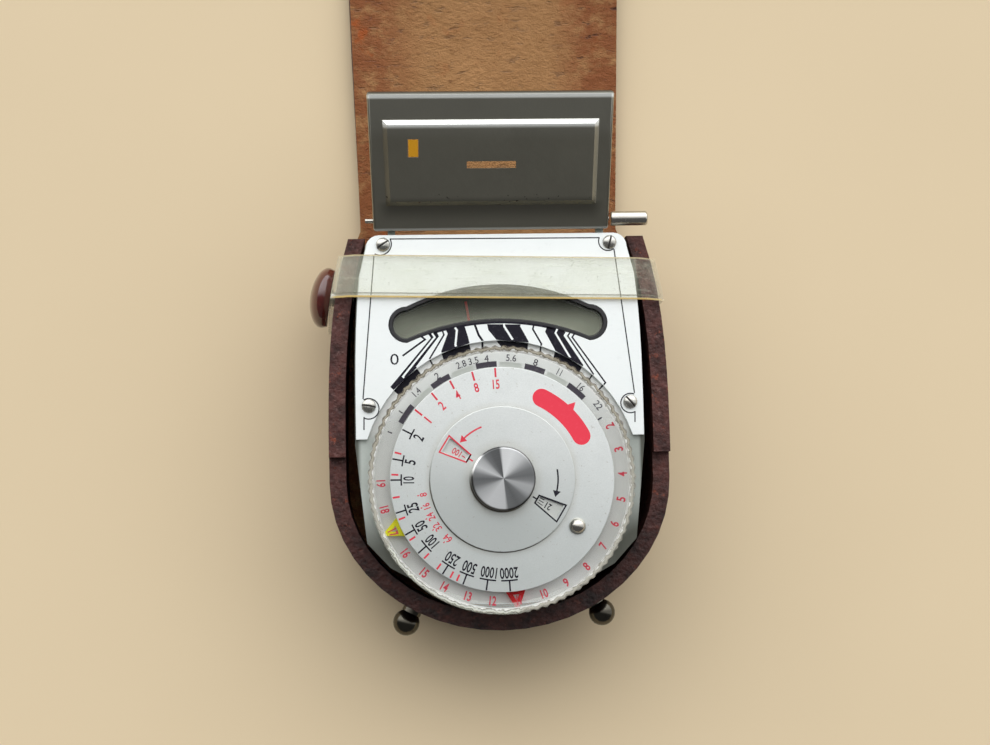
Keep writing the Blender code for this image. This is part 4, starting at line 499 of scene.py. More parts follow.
# %% Flesh side
def raw_suede():
    """Tan suede with slanting fibres, dark stained sides and pits along the right."""
    finish = Finish("raw_suede")
    spot = along_hide(finish)
    x, _, _ = parts_of(finish, spot)
    slanted = {"Vector": spot, "Rotation": (0, 0, 0.6), "Scale": (0.7, 1.15, 1)}
    fibres = clouds(finish, 0.0013, 5.0, 0.7, finish.node("ShaderNodeMapping", values=slanted))
    nap = clouds(finish, 0.0004, 4.0, 0.75, spot)
    broad = clouds(finish, 0.010, 5.0, 0.65, spot)
    stain = clouds(finish, 0.0045, 6.0, 0.7, spot)
    colour = blend(finish, tint(196, 150, 102), tint(142, 100, 60), broad * 0.7 + fibres * 0.5)
    colour = blend(finish, colour, tint(112, 72, 42), step(finish, fibres, 0.56, 0.74) * 0.6)
    left = step(finish, x, -0.010, -0.024)
    right = step(finish, x, 0.012, 0.022)
    sides = left + right
    colour = blend(finish, colour, tint(132, 74, 42), sides * step(finish, stain, 0.30, 0.56) * 0.85)
    rust = step(finish, clouds(finish, 0.007, 3.0, 0.6, spot), 0.60, 0.70)
    colour = blend(finish, colour, tint(164, 84, 38), rust * (left + 0.25) * 0.7)
    flat_pits = {"Vector": spot, "Scale": (0.5, 1.4, 1)}
    pits = clouds(finish, 0.0021, 5.0, 0.65, finish.node("ShaderNodeMapping", values=flat_pits))
    colour = blend(finish, colour, tint(62, 32, 22), step(finish, pits, 0.60, 0.70) * (right * 0.8 + 0.12))
    height = fibres * 1.2 + nap * 0.5 - step(finish, pits, 0.58, 0.70) * 0.6
    finish.surface(Base_Color=colour, Roughness=0.95, Specular_IOR_Level=0.12, Sheen_Weight=0.15,
                   Normal=bump(finish, height, 0.0007, 0.9))
    return finish.material


suede = raw_suede()
print("suede ready")

# %% [markdown]
# ## The hide
# The back of the case and its flap are one flat piece of leather, 2 mm thick, that folds just
# behind the meter. It could be drawn as an outline and filled, but one big face can't curl. So
# a grid is laid down, its rows are drawn in to the width that the hide has there, its edges
# curl up a little as old leather does, and a Solidify modifier gives it its thickness.

# %% Outline and lift of the hide
# Along the hide, y runs from its foot to its round end. The wall stands on the first part, the
# mouth of the case and the fold follow, and the flap widens again to where its end is rounded.
HIDE_THICK = 2.0
WALL_HALF = 32.5
HIDE_FOOT = 28.5
MOUTH_Y = 46.4
MOUTH_HALF = 28.3
FOLD_Y = 52.0
FOLD_HALF = 26.2
ROUND_Y = 142.0
ROUND_HALF = 29.0
ROUND_LENGTH = 22.0


def hide_half_width(y):
    """Half the width of the hide, y millimetres up from the dial's axis."""
    if y < 0:
        return WALL_HALF * math.sqrt(max(0.0, 1 - (y / HIDE_FOOT) ** 2))
    if y < MOUTH_Y:
        return WALL_HALF - (WALL_HALF - MOUTH_HALF) * (y / MOUTH_Y) ** 3.5
    if y < FOLD_Y:
        return MOUTH_HALF - (MOUTH_HALF - FOLD_HALF) * (y - MOUTH_Y) / (FOLD_Y - MOUTH_Y)
    if y < ROUND_Y:
        return FOLD_HALF + (ROUND_HALF - FOLD_HALF) * (y - FOLD_Y) / (ROUND_Y - FOLD_Y)
    return ROUND_HALF * math.sqrt(max(0.0, 1 - ((y - ROUND_Y) / ROUND_LENGTH) ** 2))


FLAT_TO = 58.0
RISE = 30.0
WAVE = 0.25
WAVE_LENGTH = 56.5
CURL = 0.9


def hide_lift(across, y):
    """How far the flap stands off the table: a slow wave, and an edge that curls up."""
    free = min(1.0, max(0.0, (y - FLAT_TO) / RISE))
    side = across * hide_half_width(y) / ROUND_HALF
    wave = WAVE * (1 + math.sin(2 * math.pi * (y - FOLD_Y) / WAVE_LENGTH + side))
    return free * (wave + CURL * abs(side) ** 5)


# %% [markdown]
# The grid's rows are spaced by a cosine, so they lie closest where the two ends are round. Its
# flat map keeps each point's place on the flat hide, because the finish has to follow the leather.


# %% Back and flap in one sheet
HIDE_END = ROUND_Y + ROUND_LENGTH
HIDE_MIDDLE = (HIDE_END - HIDE_FOOT) / 2
HIDE_REACH = (HIDE_END + HIDE_FOOT) / 2


def hide_sheet():
    """The hide as one closed sheet, suede side up, its rows closest at its two round ends."""
    bpy.ops.object.select_all(action="DESELECT")
    bpy.ops.mesh.primitive_grid_add(x_subdivisions=40, y_subdivisions=170, size=2.0)
    sheet = bpy.context.object
    sheet.name = sheet.data.name = "leather_hide"
    for point in sheet.data.vertices:
        across = point.co.x
        y = HIDE_MIDDLE - HIDE_REACH * math.cos(math.pi * (point.co.y + 1) / 2)
        point.co = (across * hide_half_width(y) * MM, y * MM, (HIDE_THICK + hide_lift(across, y)) * MM)
    flat = sheet.data.uv_layers.active
    flat.name = "flat_hide"
    for corner in sheet.data.loops:
        flat.data[corner.index].uv = sheet.data.vertices[corner.vertex_index].co.xy
    weld_outwards()
    if sheet.data.polygons[0].normal.z < 0:
        sheet.data.flip_normals()
    thickness = sheet.modifiers.new("thickness", "SOLIDIFY")
    thickness.thickness = HIDE_THICK * MM
    thickness.offset = -1.0
    bpy.ops.object.modifier_apply(modifier=thickness.name)
    return sheet


HOLE_SIDE = 18.6
HOLE_Y = 151.0
HOLE_RADIUS = 1.7


def button_holes(sheet):
    """Cuts the two round holes that button over the ball studs."""
    for side in (-1, 1):
        bpy.ops.object.select_all(action="DESELECT")
        place = (side * HOLE_SIDE * MM, HOLE_Y * MM, HIDE_THICK * MM / 2)
        depth = 4 * HIDE_THICK * MM
        bpy.ops.mesh.primitive_cylinder_add(vertices=24, radius=HOLE_RADIUS * MM, depth=depth, location=place)
        punch = bpy.context.object
        bpy.context.view_layer.objects.active = sheet
        cut = sheet.modifiers.new("hole", "BOOLEAN")
        cut.object = punch
        cut.solver = "EXACT"
        bpy.ops.object.modifier_apply(modifier=cut.name)
        bpy.data.objects.remove(punch)


hide = hide_sheet()
button_holes(hide)
hide.data.materials.clear()
hide.data.materials.append(suede)
hide.data.materials.append(hide_leather)
for face in hide.data.polygons:
    face.material_index = 0 if face.normal.z > 0.5 else 1
pick(hide)
bpy.ops.object.shade_smooth_by_angle(angle=math.radians(40))
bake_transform(hide)
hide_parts("case_back", "case_flap")
print("hide", len(hide.data.polygons), "faces")

# %% [markdown]
# ## The stiff wall and its hardware
# The wall that grips the meter is thick leather bent round it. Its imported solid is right, but
# cut leather has a rounded lip, so its edges are rounded by half a millimetre and more. The
# stud balls, the snap cap and the rivet only need their turned faces smoothed.

# %% Wall, studs, snap and rivet
wall = dress(softened("case_wall", 0.55, 3), wall_leather, "case", "leather", "case_wall")
for side in ("left", "right"):
    stud = "ball_stud_" + side
    dress(softened(stud, 0), METALS["dark_chrome"], "case", "dark_chrome", stud)
dress(softened("snap_cap", 0.25, 2), SMALLS["maroon"], "case", "maroon", "snap_cap")
dress(softened("snap_stud", 0), METALS["steel"], "case", "steel", "snap_stud")
dress(softened("band_rivet", 0.12), METALS["steel"], "case", "steel", "band_rivet")
print("wall", len(wall.data.polygons), "faces")

# %% [markdown]
# ## The body of the meter
# The housing is a die casting, and the face plate a stamped and brushed sheet with a bevelled
# edge. Both keep their imported shapes and get their rounds here. The casting has painted shade on
# its sides and a painted highlight on the round seat under the clear dial. It could be cut into two
# pieces with a finish each, but it is one piece of metal, so one finish asks how far a point lies
# from the dial's axis.


# %% Housing and face plate
def cast_body():
    """Cast silver with painted shade on its sides and a painted highlight on the seat under the clear dial.
    """
    finish = Finish("cast_body_metal")
    radius, _ = round_the_dial(finish)
    x, y, z = parts_of(finish)
    wander = clouds(finish, 0.006)
    fine = clouds(finish, 0.0004, 2.0)
    under_plate = step(finish, radius, 0.0266, 0.0264) * step(finish, y, 0.007, 0.010)
    seat = (step(finish, radius, 0.0252, 0.0250) + under_plate).math("MINIMUM", 1.0)
    seat = seat * step(finish, z, 0.0255, 0.02555)
    colour = blend(finish, tint(200, 207, 201), tint(178, 186, 180), wander * 0.6 + fine * 0.4)
    # Painted shade: the sides below the deck, the outer edges, the lower part and the right side.
    shaded_outer_edge = step(finish, x.math("ABSOLUTE"), 0.0262, 0.0272) + step(finish, y, -0.002, -0.014)
    shade = step(finish, z, 0.0262, 0.0240) + shaded_outer_edge * 0.95 + step(finish, x, 0.020, 0.026) * 0.3
    colour = blend(finish, colour, tint(86, 88, 80), shade.math("MINIMUM", 1.0) * (1 - seat))
    # Painted highlight: the seat under the clear dial is bright, most of all at its top and foot.
    bright = blend(finish, tint(208, 210, 205), tint(252, 254, 252),
                   step(finish, y, 0.004, 0.020) + step(finish, y, -0.012, -0.020) * 0.7)
    finish.surface(Base_Color=blend(finish, colour, bright, seat), Metallic=0.6 - seat * 0.5,
                   Roughness=fine * 0.14 + wander * 0.1 + 0.30, Normal=bump(finish, fine, 0.00002, 0.4))
    return finish.material


dress(softened("housing", 0.5, 3), cast_body(), "case", "silver_cast", "housing")
dress(softened("face_plate", 0.16, 2), METALS["silver_plate"], "case", "silver_plate", "face_plate")
print("housing and face plate dressed")

# %% [markdown]
# ## The lid
# The lid is pressed from thin sheet, so its raised panel has soft mitred slopes. It leans back and
# mirrors the dim side of the room, while its upper edges catch the window. The rounds are too
# narrow to mirror much, so the finish brightens them itself. It measures in the lid's own plane,
# along it from the hinge and out from it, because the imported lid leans.


# %% Lid, its mark and its hinge
HINGE_Y = 49.6
HINGE_Z = 27.6
LID_LEAN = 17.5


def pressed_lid():
    """Satin metal with painted highlights on its upper edge and panel slope, and painted shade at the panel's
    foot.
    """
    finish = Finish("pressed_lid_metal")
    tilt = math.radians(LID_LEAN)
    x, y, z = parts_of(finish, here(finish, shift=(0, -HINGE_Y * MM, -HINGE_Z * MM)))
    along = y * math.cos(tilt) + z * math.sin(tilt)
    height = z * math.cos(tilt) - y * math.sin(tilt)
    fine = clouds(finish, 0.0003, 2.0, 0.6, here(finish, stretch=(1, 0.2, 1)))
    wander = clouds(finish, 0.008)
    colour = blend(finish, tint(150, 147, 134), tint(136, 134, 122), wander * 0.6 + fine * 0.4)
    raised = step(finish, height, 0.00178, 0.00186)
    # Painted shadow: a dark band along the foot of the raised panel and on the frame just below it.
    below = step(finish, along, -0.0008, 0.0028) * step(finish, along, 0.0042, 0.0031)
    below = below * step(finish, (x + 0.001).math("ABSOLUTE"), 0.0222, 0.0190) * (1 - raised)
    foot = step(finish, along, 0.0050, 0.0036) * raised + below
    colour = blend(finish, colour, tint(84, 82, 74), foot * 0.65)
    # Painted highlight on the upper slope of the panel, along the upper and lower edges, and faintly over the
    # panel.
    slope = raised * (step(finish, along, 0.0184, 0.0185) + step(finish, along, 0.0175, 0.0183) * 0.75)
    slope = slope * step(finish, (x + 0.001).math("ABSOLUTE"), 0.0206, 0.0202)
    lip_highlight = step(finish, along, 0.0230, 0.0235) * step(finish, along, 0.0241, 0.0238) * 0.75
    painted_shine = slope + lip_highlight + step(finish, along, -0.0011, -0.0014) * 0.5
    painted_shine = (painted_shine + step(finish, along, 0.0150, 0.0184) * 0.05).math("MINIMUM", 1.0)
    colour = blend(finish, colour, tint(244, 247, 244), painted_shine)
    # Painted shade on the rounded edge beyond the upper highlight.
    colour = blend(finish, colour, tint(96, 96, 90), step(finish, along, 0.0240, 0.0242))
    specks = step(finish, clouds(finish, 0.0006, 3.0), 0.64, 0.70)
    specks = specks * step(finish, along, 0.0062, 0.0046) * raised
    colour = blend(finish, colour, tint(40, 38, 34), specks * 0.8)
    finish.surface(Base_Color=colour, Metallic=0.95 - painted_shine * 0.75,
                   Roughness=fine * 0.14 + wander * 0.1 + 0.22, Normal=bump(finish, fine, 0.00002, 0.4))
    return finish.material


lid = dress(softened("lid", 0.3, 3, 20.0), pressed_lid(), "lid", "lid_grey", "lid")
dress(softened("lid_mark", 0.05), SMALLS["amber"], "lid", "amber", "lid_mark")
dress(softened("hinge_pin", 0.08), METALS["steel"], "lid", "steel", "hinge_pin")
dress(softened("hinge_knob", 0.2, 3), METALS["steel"], "lid", "steel", "hinge_knob")
print("lid", len(lid.data.polygons), "faces")


# %% [markdown]
# ## The plate's screws
# Four small slotted screws hold the face plate, each stopped at its own angle. The imported heads
# have their slots. What makes a slot show is the shade in it, which could be a thin dark piece of
# its own. Here it is painted shade: a dark band in the finish, turned as far as the slot is.


# %% Slotted screws
def slotted_steel(name, place, degrees):
    """Steel with painted shade in the slot of the screw."""
    finish = Finish(name)
    turn = math.radians(-degrees)
    middle = Matrix.Rotation(turn, 3, "Z") @ Vector((-place.x, -place.y, 0))
    _, across, _ = parts_of(finish, here(finish, turn=(0, 0, turn), shift=tuple(middle)))
    fine = clouds(finish, 0.0005, 3.0)
    # Painted shade along the slot.
    in_slot = step(finish, across.math("ABSOLUTE"), 0.00022, 0.00013)
    colour = blend(finish, tint(214, 214, 208), tint(150, 148, 142), fine)
    finish.surface(Base_Color=blend(finish, colour, tint(38, 34, 30), in_slot), Metallic=0.9 - in_slot * 0.8,
                   Roughness=fine * 0.2 + 0.16)
    return finish.material


SLOT_TURNS = {"upper_left": 35, "upper_right": 75, "lower_left": -10, "lower_right": 130}
for corner, degrees in SLOT_TURNS.items():
    screw = "plate_screw_" + corner
    low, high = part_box(screw)
    middle = (Vector(low) + Vector(high)) / 2
    shaded_slot_steel = slotted_steel("slotted_steel_" + corner, middle, degrees)
    dress(softened(screw, 0.04), shaded_slot_steel, "case", "steel", screw)
print("screws ready")

# %% [markdown]
# ## Clear plastics
# The band, the dial and the window are clear, and at this scale their clearness is mostly thin
# tint and gloss. Real refraction would bury the prints under noise, so each is an ordinary
# shiny surface whose alpha is low, and higher where the plastic is thick, cut or scuffed.


# %% Band and window glass
def clear_vinyl():
    """Aged vinyl: nearly clear, with streaks, specks and golden cut edges."""
    finish = Finish("aged_clear_vinyl")
    x, y, z = parts_of(finish)
    on_top = step(finish, z, 0.0262, 0.0275)
    across = y + x * 0.022
    haze = clouds(finish, 0.006, 4.0)
    streaks = step(finish, clouds(finish, 0.0012, 4.0, 0.65, here(finish, stretch=(0.12, 1, 1))), 0.55, 0.70)
    specks = step(finish, clouds(finish, 0.0007, 3.0), 0.66, 0.72)
    low_edge = step(finish, across, 0.03478, 0.03462)
    high_edge = step(finish, across, 0.04212, 0.04232)
    low_line = step(finish, (across - 0.03518).math("ABSOLUTE"), 0.00016, 0.00006)
    edge = (low_edge + high_edge * 0.7) * on_top
    grey = low_line * on_top + specks * 0.6
    colour = blend(finish, tint(252, 254, 236), tint(236, 238, 208), haze)
    colour = blend(finish, colour, tint(120, 116, 96), grey)
    colour = blend(finish, colour, tint(206, 178, 108), edge)
    over_wall = (1 - on_top) * 0.12 - step(finish, x, 0.0262, 0.0270) * step(finish, z, 0.0235, 0.0250) * 0.11
    alpha = haze * 0.10 + streaks * 0.10 + edge * 0.55 + grey * 0.35 + over_wall + 0.10
    finish.surface(Base_Color=colour, Roughness=streaks * 0.2 + 0.14, Alpha=alpha,
                   Normal=bump(finish, streaks + haze, 0.0001, 0.4))
    return finish.material


def window_acrylic():
    """The window: clear at the top, where it is in shade, and milky with dust lower down."""
    finish = Finish("window_acrylic")
    _, y, _ = parts_of(finish)
    dust = clouds(finish, 0.0015, 5.0, 0.7)
    low = step(finish, y, 0.0345, 0.0290)
    finish.surface(Base_Color=tint(208, 214, 192), Roughness=dust * 0.1 + 0.08,
                   Alpha=low * 0.11 + dust * 0.05 + 0.01)
    return finish.material


dress(softened("holding_band", 0.12, 2), clear_vinyl(), "case", "vinyl", "holding_band")
dress(softened("window_glass", 0.1), window_acrylic(), "case", "acrylic", "window_glass")
dress(softened("window_bezel", 0.1, 2), SMALLS["black"], "case", "black", "window_bezel")
print("clear plastics ready")


# %% [markdown]
# ## The needle's ground
# The needle swings over a pale tray that lies deep behind the window. Its upper half and its two
# ends are in shade. The room's light is too soft to throw that shade, so the card itself is
# darker there.


# %% Needle and tray
def shaded_ground():
    """Pale grey-green card that is dark under the upper edge of the window."""
    finish = Finish("shaded_needle_ground")
    x, y, _ = parts_of(finish)
    mottle = clouds(finish, 0.002, 4.0)
    ends = step(finish, x, -0.0125, -0.0190) * 0.75 + step(finish, x, 0.0150, 0.0200) * 0.35
    slanted = y + x.math("ABSOLUTE") * 0.07 - x * 0.07
    deep = step(finish, slanted, 0.0295, 0.0345)
    colour = blend(finish, tint(238, 242, 222), tint(214, 218, 196), mottle * 0.5)
    colour = blend(finish, colour, tint(66, 64, 58), deep)
    colour = blend(finish, colour, tint(22, 20, 18), ends.math("MINIMUM", 1.0))
    finish.surface(Base_Color=colour, Roughness=0.75, Specular_IOR_Level=0.25)
    return finish.material


dress(softened("needle_tray", 0), shaded_ground(), "case", "card", "needle_tray")
dress(softened("needle", 0), SMALLS["needle_red"], "movement", "needle_red", "needle")
print("needle window ready")

# %% [markdown]
# ## The dial
# From below: a plate with a yellow and a red hollow triangle, the clear scalloped dial, the
# shutter disc with its handle, the film disc with two windows, and the turned knob.
# The clear dial has a raised rim with ninety small scallops, and a smooth stretch at the foot. A
# disc could be bitten ninety times by a cutter, but that is slow and leaves ragged faces. So a
# flat grid is bent round the axis: each of its columns is one direction, and each of its rows is
# one corner of the cross section. A cosine draws the outer corners in between the scallops.


# %% Clear dial
SCALLOPS = 90
SCALLOP_DEPTH = 0.34
SMOOTH_FROM = 205.6
SMOOTH_TO = 280.6
# Each corner of the cross section has its radius, its height and its share of the scallops.
DIAL_SECTION = [(3.7, 28.0, 0), (12.0, 28.0, 0), (24.6, 28.0, 0), (25.12, 28.0, 0.8), (25.3, 28.2, 1),
                (25.3, 30.2, 1), (25.12, 30.4, 0.8), (24.8, 30.4, 0.2), (24.42, 30.4, 0), (24.3, 30.34, 0),
                (24.02, 29.62, 0), (23.9, 29.5, 0), (22.5, 29.5, 0), (12.0, 29.5, 0), (3.7, 29.5, 0)]


def scallop_depth(degrees):
    """How far the edge is drawn in there: not at all along the smooth stretch at the foot."""
    smooth = min(1.0, max(0.0, min(degrees - SMOOTH_FROM, SMOOTH_TO - degrees) / 4.0))
    return SCALLOP_DEPTH * (1 - smooth) * (1 - math.cos(math.radians(SCALLOPS * degrees))) / 2


def scalloped_dial():
    """The clear dial as a ring of cross sections, drawn in between the scallops."""
    bpy.ops.object.select_all(action="DESELECT")
    rows = len(DIAL_SECTION)
    bpy.ops.mesh.primitive_grid_add(x_subdivisions=SCALLOPS * 8, y_subdivisions=rows, size=2.0)
    dial = bpy.context.object
    dial.name = dial.data.name = "scalloped_dial"
    for point in dial.data.vertices:
        degrees = 180.0 * (point.co.x + 1)
        radius, level, share = DIAL_SECTION[round((point.co.y + 1) / 2 * rows) % rows]
        radius -= share * scallop_depth(degrees)
        turn = math.radians(degrees)
        point.co = (radius * math.cos(turn) * MM, radius * math.sin(turn) * MM, level * MM)
    weld_outwards()
    bpy.ops.object.shade_smooth_by_angle(angle=math.radians(SMOOTH_BELOW))
    return dial


def scalloped_plastic():
    """Clear plastic whose thick rim has painted light and shade in thin wavy dark and light rings."""
    finish = Finish("scalloped_plastic")
    radius, angle = round_the_dial(finish)
    _, y, z = parts_of(finish)
    mottle = clouds(finish, 0.0022, 4.0, 0.6)
    blots = clouds(finish, 0.0011, 4.0, 0.65)
    smooth_part = step(finish, angle, -2.66, -2.60) * step(finish, angle, -1.42, -1.48)
    wave = (angle * SCALLOPS).math("COSINE") * -0.00009 * (1 - smooth_part)
    uneven = (blots - 0.5) * 0.0010 + (mottle - 0.5) * 0.0006
    share = step(finish, radius + wave + uneven, 0.0238, 0.0253)
    # Painted light and shade: the ramps draw the bright bands and thin wavy dark lines of the rim.
    rings = finish.node("ShaderNodeValToRGB", {"stops": [
        (0.00, tint(240, 243, 240)), (0.05, tint(244, 246, 243)), (0.18, tint(250, 251, 249)),
        (0.27, tint(222, 220, 210)), (0.34, tint(58, 52, 41)), (0.43, tint(148, 140, 121)),
        (0.62, tint(170, 163, 145)), (0.80, tint(132, 124, 106)), (0.88, tint(44, 39, 31)),
        (0.95, tint(138, 131, 114)), (1.00, tint(52, 48, 39))]}, {0: share})
    plain = finish.node("ShaderNodeValToRGB", {"stops": [
        (0.00, tint(222, 226, 221)), (0.20, tint(236, 238, 234)), (0.34, tint(120, 116, 102)),
        (0.50, tint(206, 210, 204)), (0.70, tint(228, 230, 214)), (0.88, tint(84, 80, 70)),
        (0.95, tint(206, 210, 200)), (1.00, tint(100, 98, 88))]}, {0: share})
    colour = blend(finish, rings, plain, smooth_part)
    # Painted light: away from its top the rim is paler.
    top_part = step(finish, angle.math("SINE"), -0.2, 0.7)
    colour = blend(finish, colour, tint(208, 210, 202), (1 - top_part) * (1 - smooth_part) * 0.36)
    # Painted shade: dark blobs over the top of the rim.
    shaded_blobs = step(finish, blots, 0.60, 0.68) * step(finish, radius, 0.0243, 0.0246) * (1 - smooth_part)
    colour = blend(finish, colour, tint(84, 78, 68), shaded_blobs * 0.6)
    flat_top = step(finish, z, 0.03025, 0.03033)
    slope = step(finish, z, 0.02956, 0.02964) * (1 - flat_top) * step(finish, radius, 0.0246, 0.0244)
    under = step(finish, radius, 0.0241, 0.0243) * 0.6 + step(finish, y, 0.006, 0.016) * 0.5
    under = under.math("MINIMUM", 0.6) * step(finish, z, 0.02810, 0.02804)
    foot = step(finish, radius, 0.0230, 0.0233) * step(finish, y, -0.0200, -0.0215) * (1 - flat_top) * 0.24
    alpha = flat_top * (shaded_blobs * 0.1 + 0.78) + slope * 0.30 + under + foot + mottle * 0.03 + 0.003
    finish.surface(Base_Color=colour, Roughness=mottle * 0.15 + 0.10, Alpha=alpha,
                   Specular_IOR_Level=0.25, Normal=bump(finish, blots, 0.0002, 0.4))
    return finish.material


clear_dial = dress(scalloped_dial(), scalloped_plastic(), "aperture_dial", "clear_dial", "clear_dial")
print("clear dial", len(clear_dial.data.polygons), "faces")

# %% [markdown]
# ## The pointer plate and the discs
# The pointer plate is painted sheet, and both discs are satin metal with painted light that grows
# brighter towards the window. A dark line lies round the piece on top of each disc, where dirt
# gathers and the edge throws a shade; that shade is painted, strongest on the lower side. A thin
# ring could stand for it. It is part of the disc's finish, because it fades round the lit side.


# %% Pointer plate and discs
def index_paint():
    """The pointer plate: yellow triangle on the left, red one on the right."""
    finish = Finish("index_triangle_paint")
    x, _, _ = parts_of(finish)
    chips = clouds(finish, 0.0008, 4.0)
    colour = blend(finish, tint(238, 234, 24), tint(224, 2, 18), step(finish, x, -0.0105, -0.0095))
    colour = blend(finish, colour, tint(120, 100, 60), step(finish, chips, 0.66, 0.74) * 0.3)
    finish.surface(Base_Color=colour, Roughness=chips * 0.2 + 0.4, Specular_IOR_Level=0.05)
    return finish.material


def satin_disc_metal(name, edge, line, reach, bright, dim):
    """Satin metal with painted light, brighter towards the window, and painted shadow round the piece on it.
    """
    finish = Finish(name)
    radius, angle = round_the_dial(finish)
    wander = clouds(finish, 0.006)
    fine = clouds(finish, 0.00022, 3.0, 0.7)
    specks = step(finish, clouds(finish, 0.0006, 3.0), 0.67, 0.73)
    x, y, _ = parts_of(finish)
    # Painted light: brighter up and to the right, towards the window.
    colour = blend(finish, tint(dim, dim + 5, dim + 3), tint(bright, bright + 3, bright + 2),
                   step(finish, y + x * 0.3, -reach, reach))
    colour = blend(finish, colour, tint(186, 192, 189), wander * 0.3 + fine * 0.5)
    colour = blend(finish, colour, tint(150, 142, 124), specks * 0.35)
    # Painted shadow of the piece on top on the lower side, over a faint dark line all round.
    low_side = step(finish, (angle + 2.05).math("COSINE"), 0.15, 0.75)
    near = step(finish, radius, edge + line, edge + line * 0.5)
    near = near * step(finish, radius, edge - 0.0004, edge - 0.0002)
    colour = blend(finish, colour, tint(52, 48, 46), near * (low_side * 0.85 + 0.10))
    stain = step(finish, radius, edge + line * 6, edge) * wander * 0.35
    colour = blend(finish, colour, tint(176, 166, 142), stain)
    finish.surface(Base_Color=colour, Metallic=0.85, Roughness=fine * 0.14 + wander * 0.08 + 0.24,
                   Normal=bump(finish, fine, 0.00003, 0.5))
    return finish.material


shutter_metal = satin_disc_metal("shutter_disc_metal", edge=0.0136, line=0.00024, reach=0.019,
                                 bright=252, dim=224)
index_metal = satin_disc_metal("index_disc_metal", edge=0.0060, line=0.00036, reach=0.012,
                               bright=244, dim=200)
dress(softened("pointer_plate", 0), index_paint(), "film_dial", "index_red", "pointer_plate")
dress(softened("shutter_disc", 0.1, 2), shutter_metal, "shutter_dial", "silver_plate", "shutter_disc")
dress(softened("index_disc", 0.08, 2), index_metal, "film_dial", "silver_plate", "index_disc")
dress(softened("handle_pin", 0), METALS["steel"], "shutter_dial", "steel", "handle_pin")
print("plate and discs dressed")

# %% [markdown]
# ## The knob
# The top of the knob was faced on a lathe. Its fine rings spread the light into bright and dark
# fans that meet in the middle. To cut the rings into the mesh would take thousands of faces. So
# the fans are a ramp of greys round the axis, and the rings are a fine noise of the radius alone.


# %% Turned knob
def turned_face():
    """Fine turned rings, which spread the light into bright and dark fans."""
    finish = Finish("turned_knob_metal")
    radius, angle = round_the_dial(finish)
    rings = finish.node("ShaderNodeTexNoise", {"noise_dimensions": "1D"},
                        {"W": radius, "Scale": 9000.0, "Detail": 2.0})
    greys = {-180: 88, -168: 104, -152: 166, -125: 200, -88: 196, -82: 98, -62: 84, -44: 104, -30: 164,
             -16: 172, -6: 124, 6: 98, 20: 112, 32: 152, 46: 200, 70: 228, 92: 220, 98: 74, 114: 80,
             128: 108, 138: 174, 154: 204, 168: 124, 180: 88}
    stops = [((degrees + 180) / 360, tint(grey, grey + 2, grey + 3)) for degrees, grey in greys.items()]
    fans = finish.node("ShaderNodeValToRGB", {"stops": stops}, {0: angle / (2 * math.pi) + 0.5})
    colour = blend(finish, fans, tint(150, 150, 152), rings * 0.25)
    # Painted highlight round the upper left of the knob's rim, and painted shade round the rest of it.
    skirt = step(finish, radius, 0.00560, 0.00585)
    lit_side = step(finish, (angle - 2.65).math("ABSOLUTE"), 0.45, 0.15)
    colour = blend(finish, colour, tint(30, 28, 28), skirt * (1 - lit_side) * 0.8)
    colour = blend(finish, colour, tint(246, 248, 248), skirt * lit_side)
    finish.surface(Base_Color=colour, Roughness=rings * 0.12 + 0.30, Metallic=0.75,
                   Normal=bump(finish, rings, 0.00001, 0.3))
    return finish.material


dress(softened("dial_knob", 0.12, 2), turned_face(), "film_dial", "steel", "dial_knob")
print("knob dressed")

# %% [markdown]
# ## Printed lines and blocks
# Every number, line and block is ink with a real thickness of a few hundredths of a millimetre,
# so it can't flicker against what it lies on. It could be painted by the finish of the dial, but
# its edges would be soft and its place hard to read. A line or a block is drawn as an outline: one
# point is pulled from place to place by extrusion, filled, and extruded once more upwards.


# %% Ink outlines
# The thickness of the ink, and the size of the square that shrinks to an outline's first point.
INK = 0.03
SEED = 0.1


def sheet_of_ink(name):
    """An empty mesh in edit mode, ready to be drawn on."""
    bpy.ops.object.select_all(action="DESELECT")
    bpy.ops.mesh.primitive_plane_add(size=MM)
    sheet = bpy.context.object
    sheet.name = sheet.data.name = name
    bpy.ops.object.mode_set(mode="EDIT")
    bpy.ops.mesh.select_all(action="SELECT")
    bpy.ops.mesh.delete(type="VERT")
    return sheet


def draw_filled(points, level):
    """Pulls one point along an outline, in millimetres, fills it and gives the ink its height."""
    first = (points[0][0] * MM, points[0][1] * MM, (level - INK / 2) * MM)
    bpy.ops.mesh.primitive_plane_add(size=SEED * MM, location=first)
    bpy.ops.mesh.merge(type="CENTER")
    for start, end in zip(points, points[1:]):
        pull = ((end[0] - start[0]) * MM, (end[1] - start[1]) * MM, 0)
        bpy.ops.mesh.extrude_region_move(TRANSFORM_OT_translate={"value": pull})
    bpy.ops.mesh.select_linked()
    bpy.ops.mesh.edge_face_add()
    bpy.ops.mesh.extrude_region_move(TRANSFORM_OT_translate={"value": (0, 0, INK * MM)})
    bpy.ops.mesh.select_linked()
    bpy.ops.mesh.normals_make_consistent(inside=False)


# %% Points, bows and strokes
def polar(radius, degrees):
    """A point at that distance and angle from the dial's axis."""
    return (radius * math.cos(math.radians(degrees)), radius * math.sin(math.radians(degrees)))


def bow(radius, start, end, steps, centre=(0, 0)):
    """Points along part of a circle."""
    turns = [start + (end - start) * share / steps for share in range(steps + 1)]
    return [(centre[0] + polar(radius, turn)[0], centre[1] + polar(radius, turn)[1]) for turn in turns]


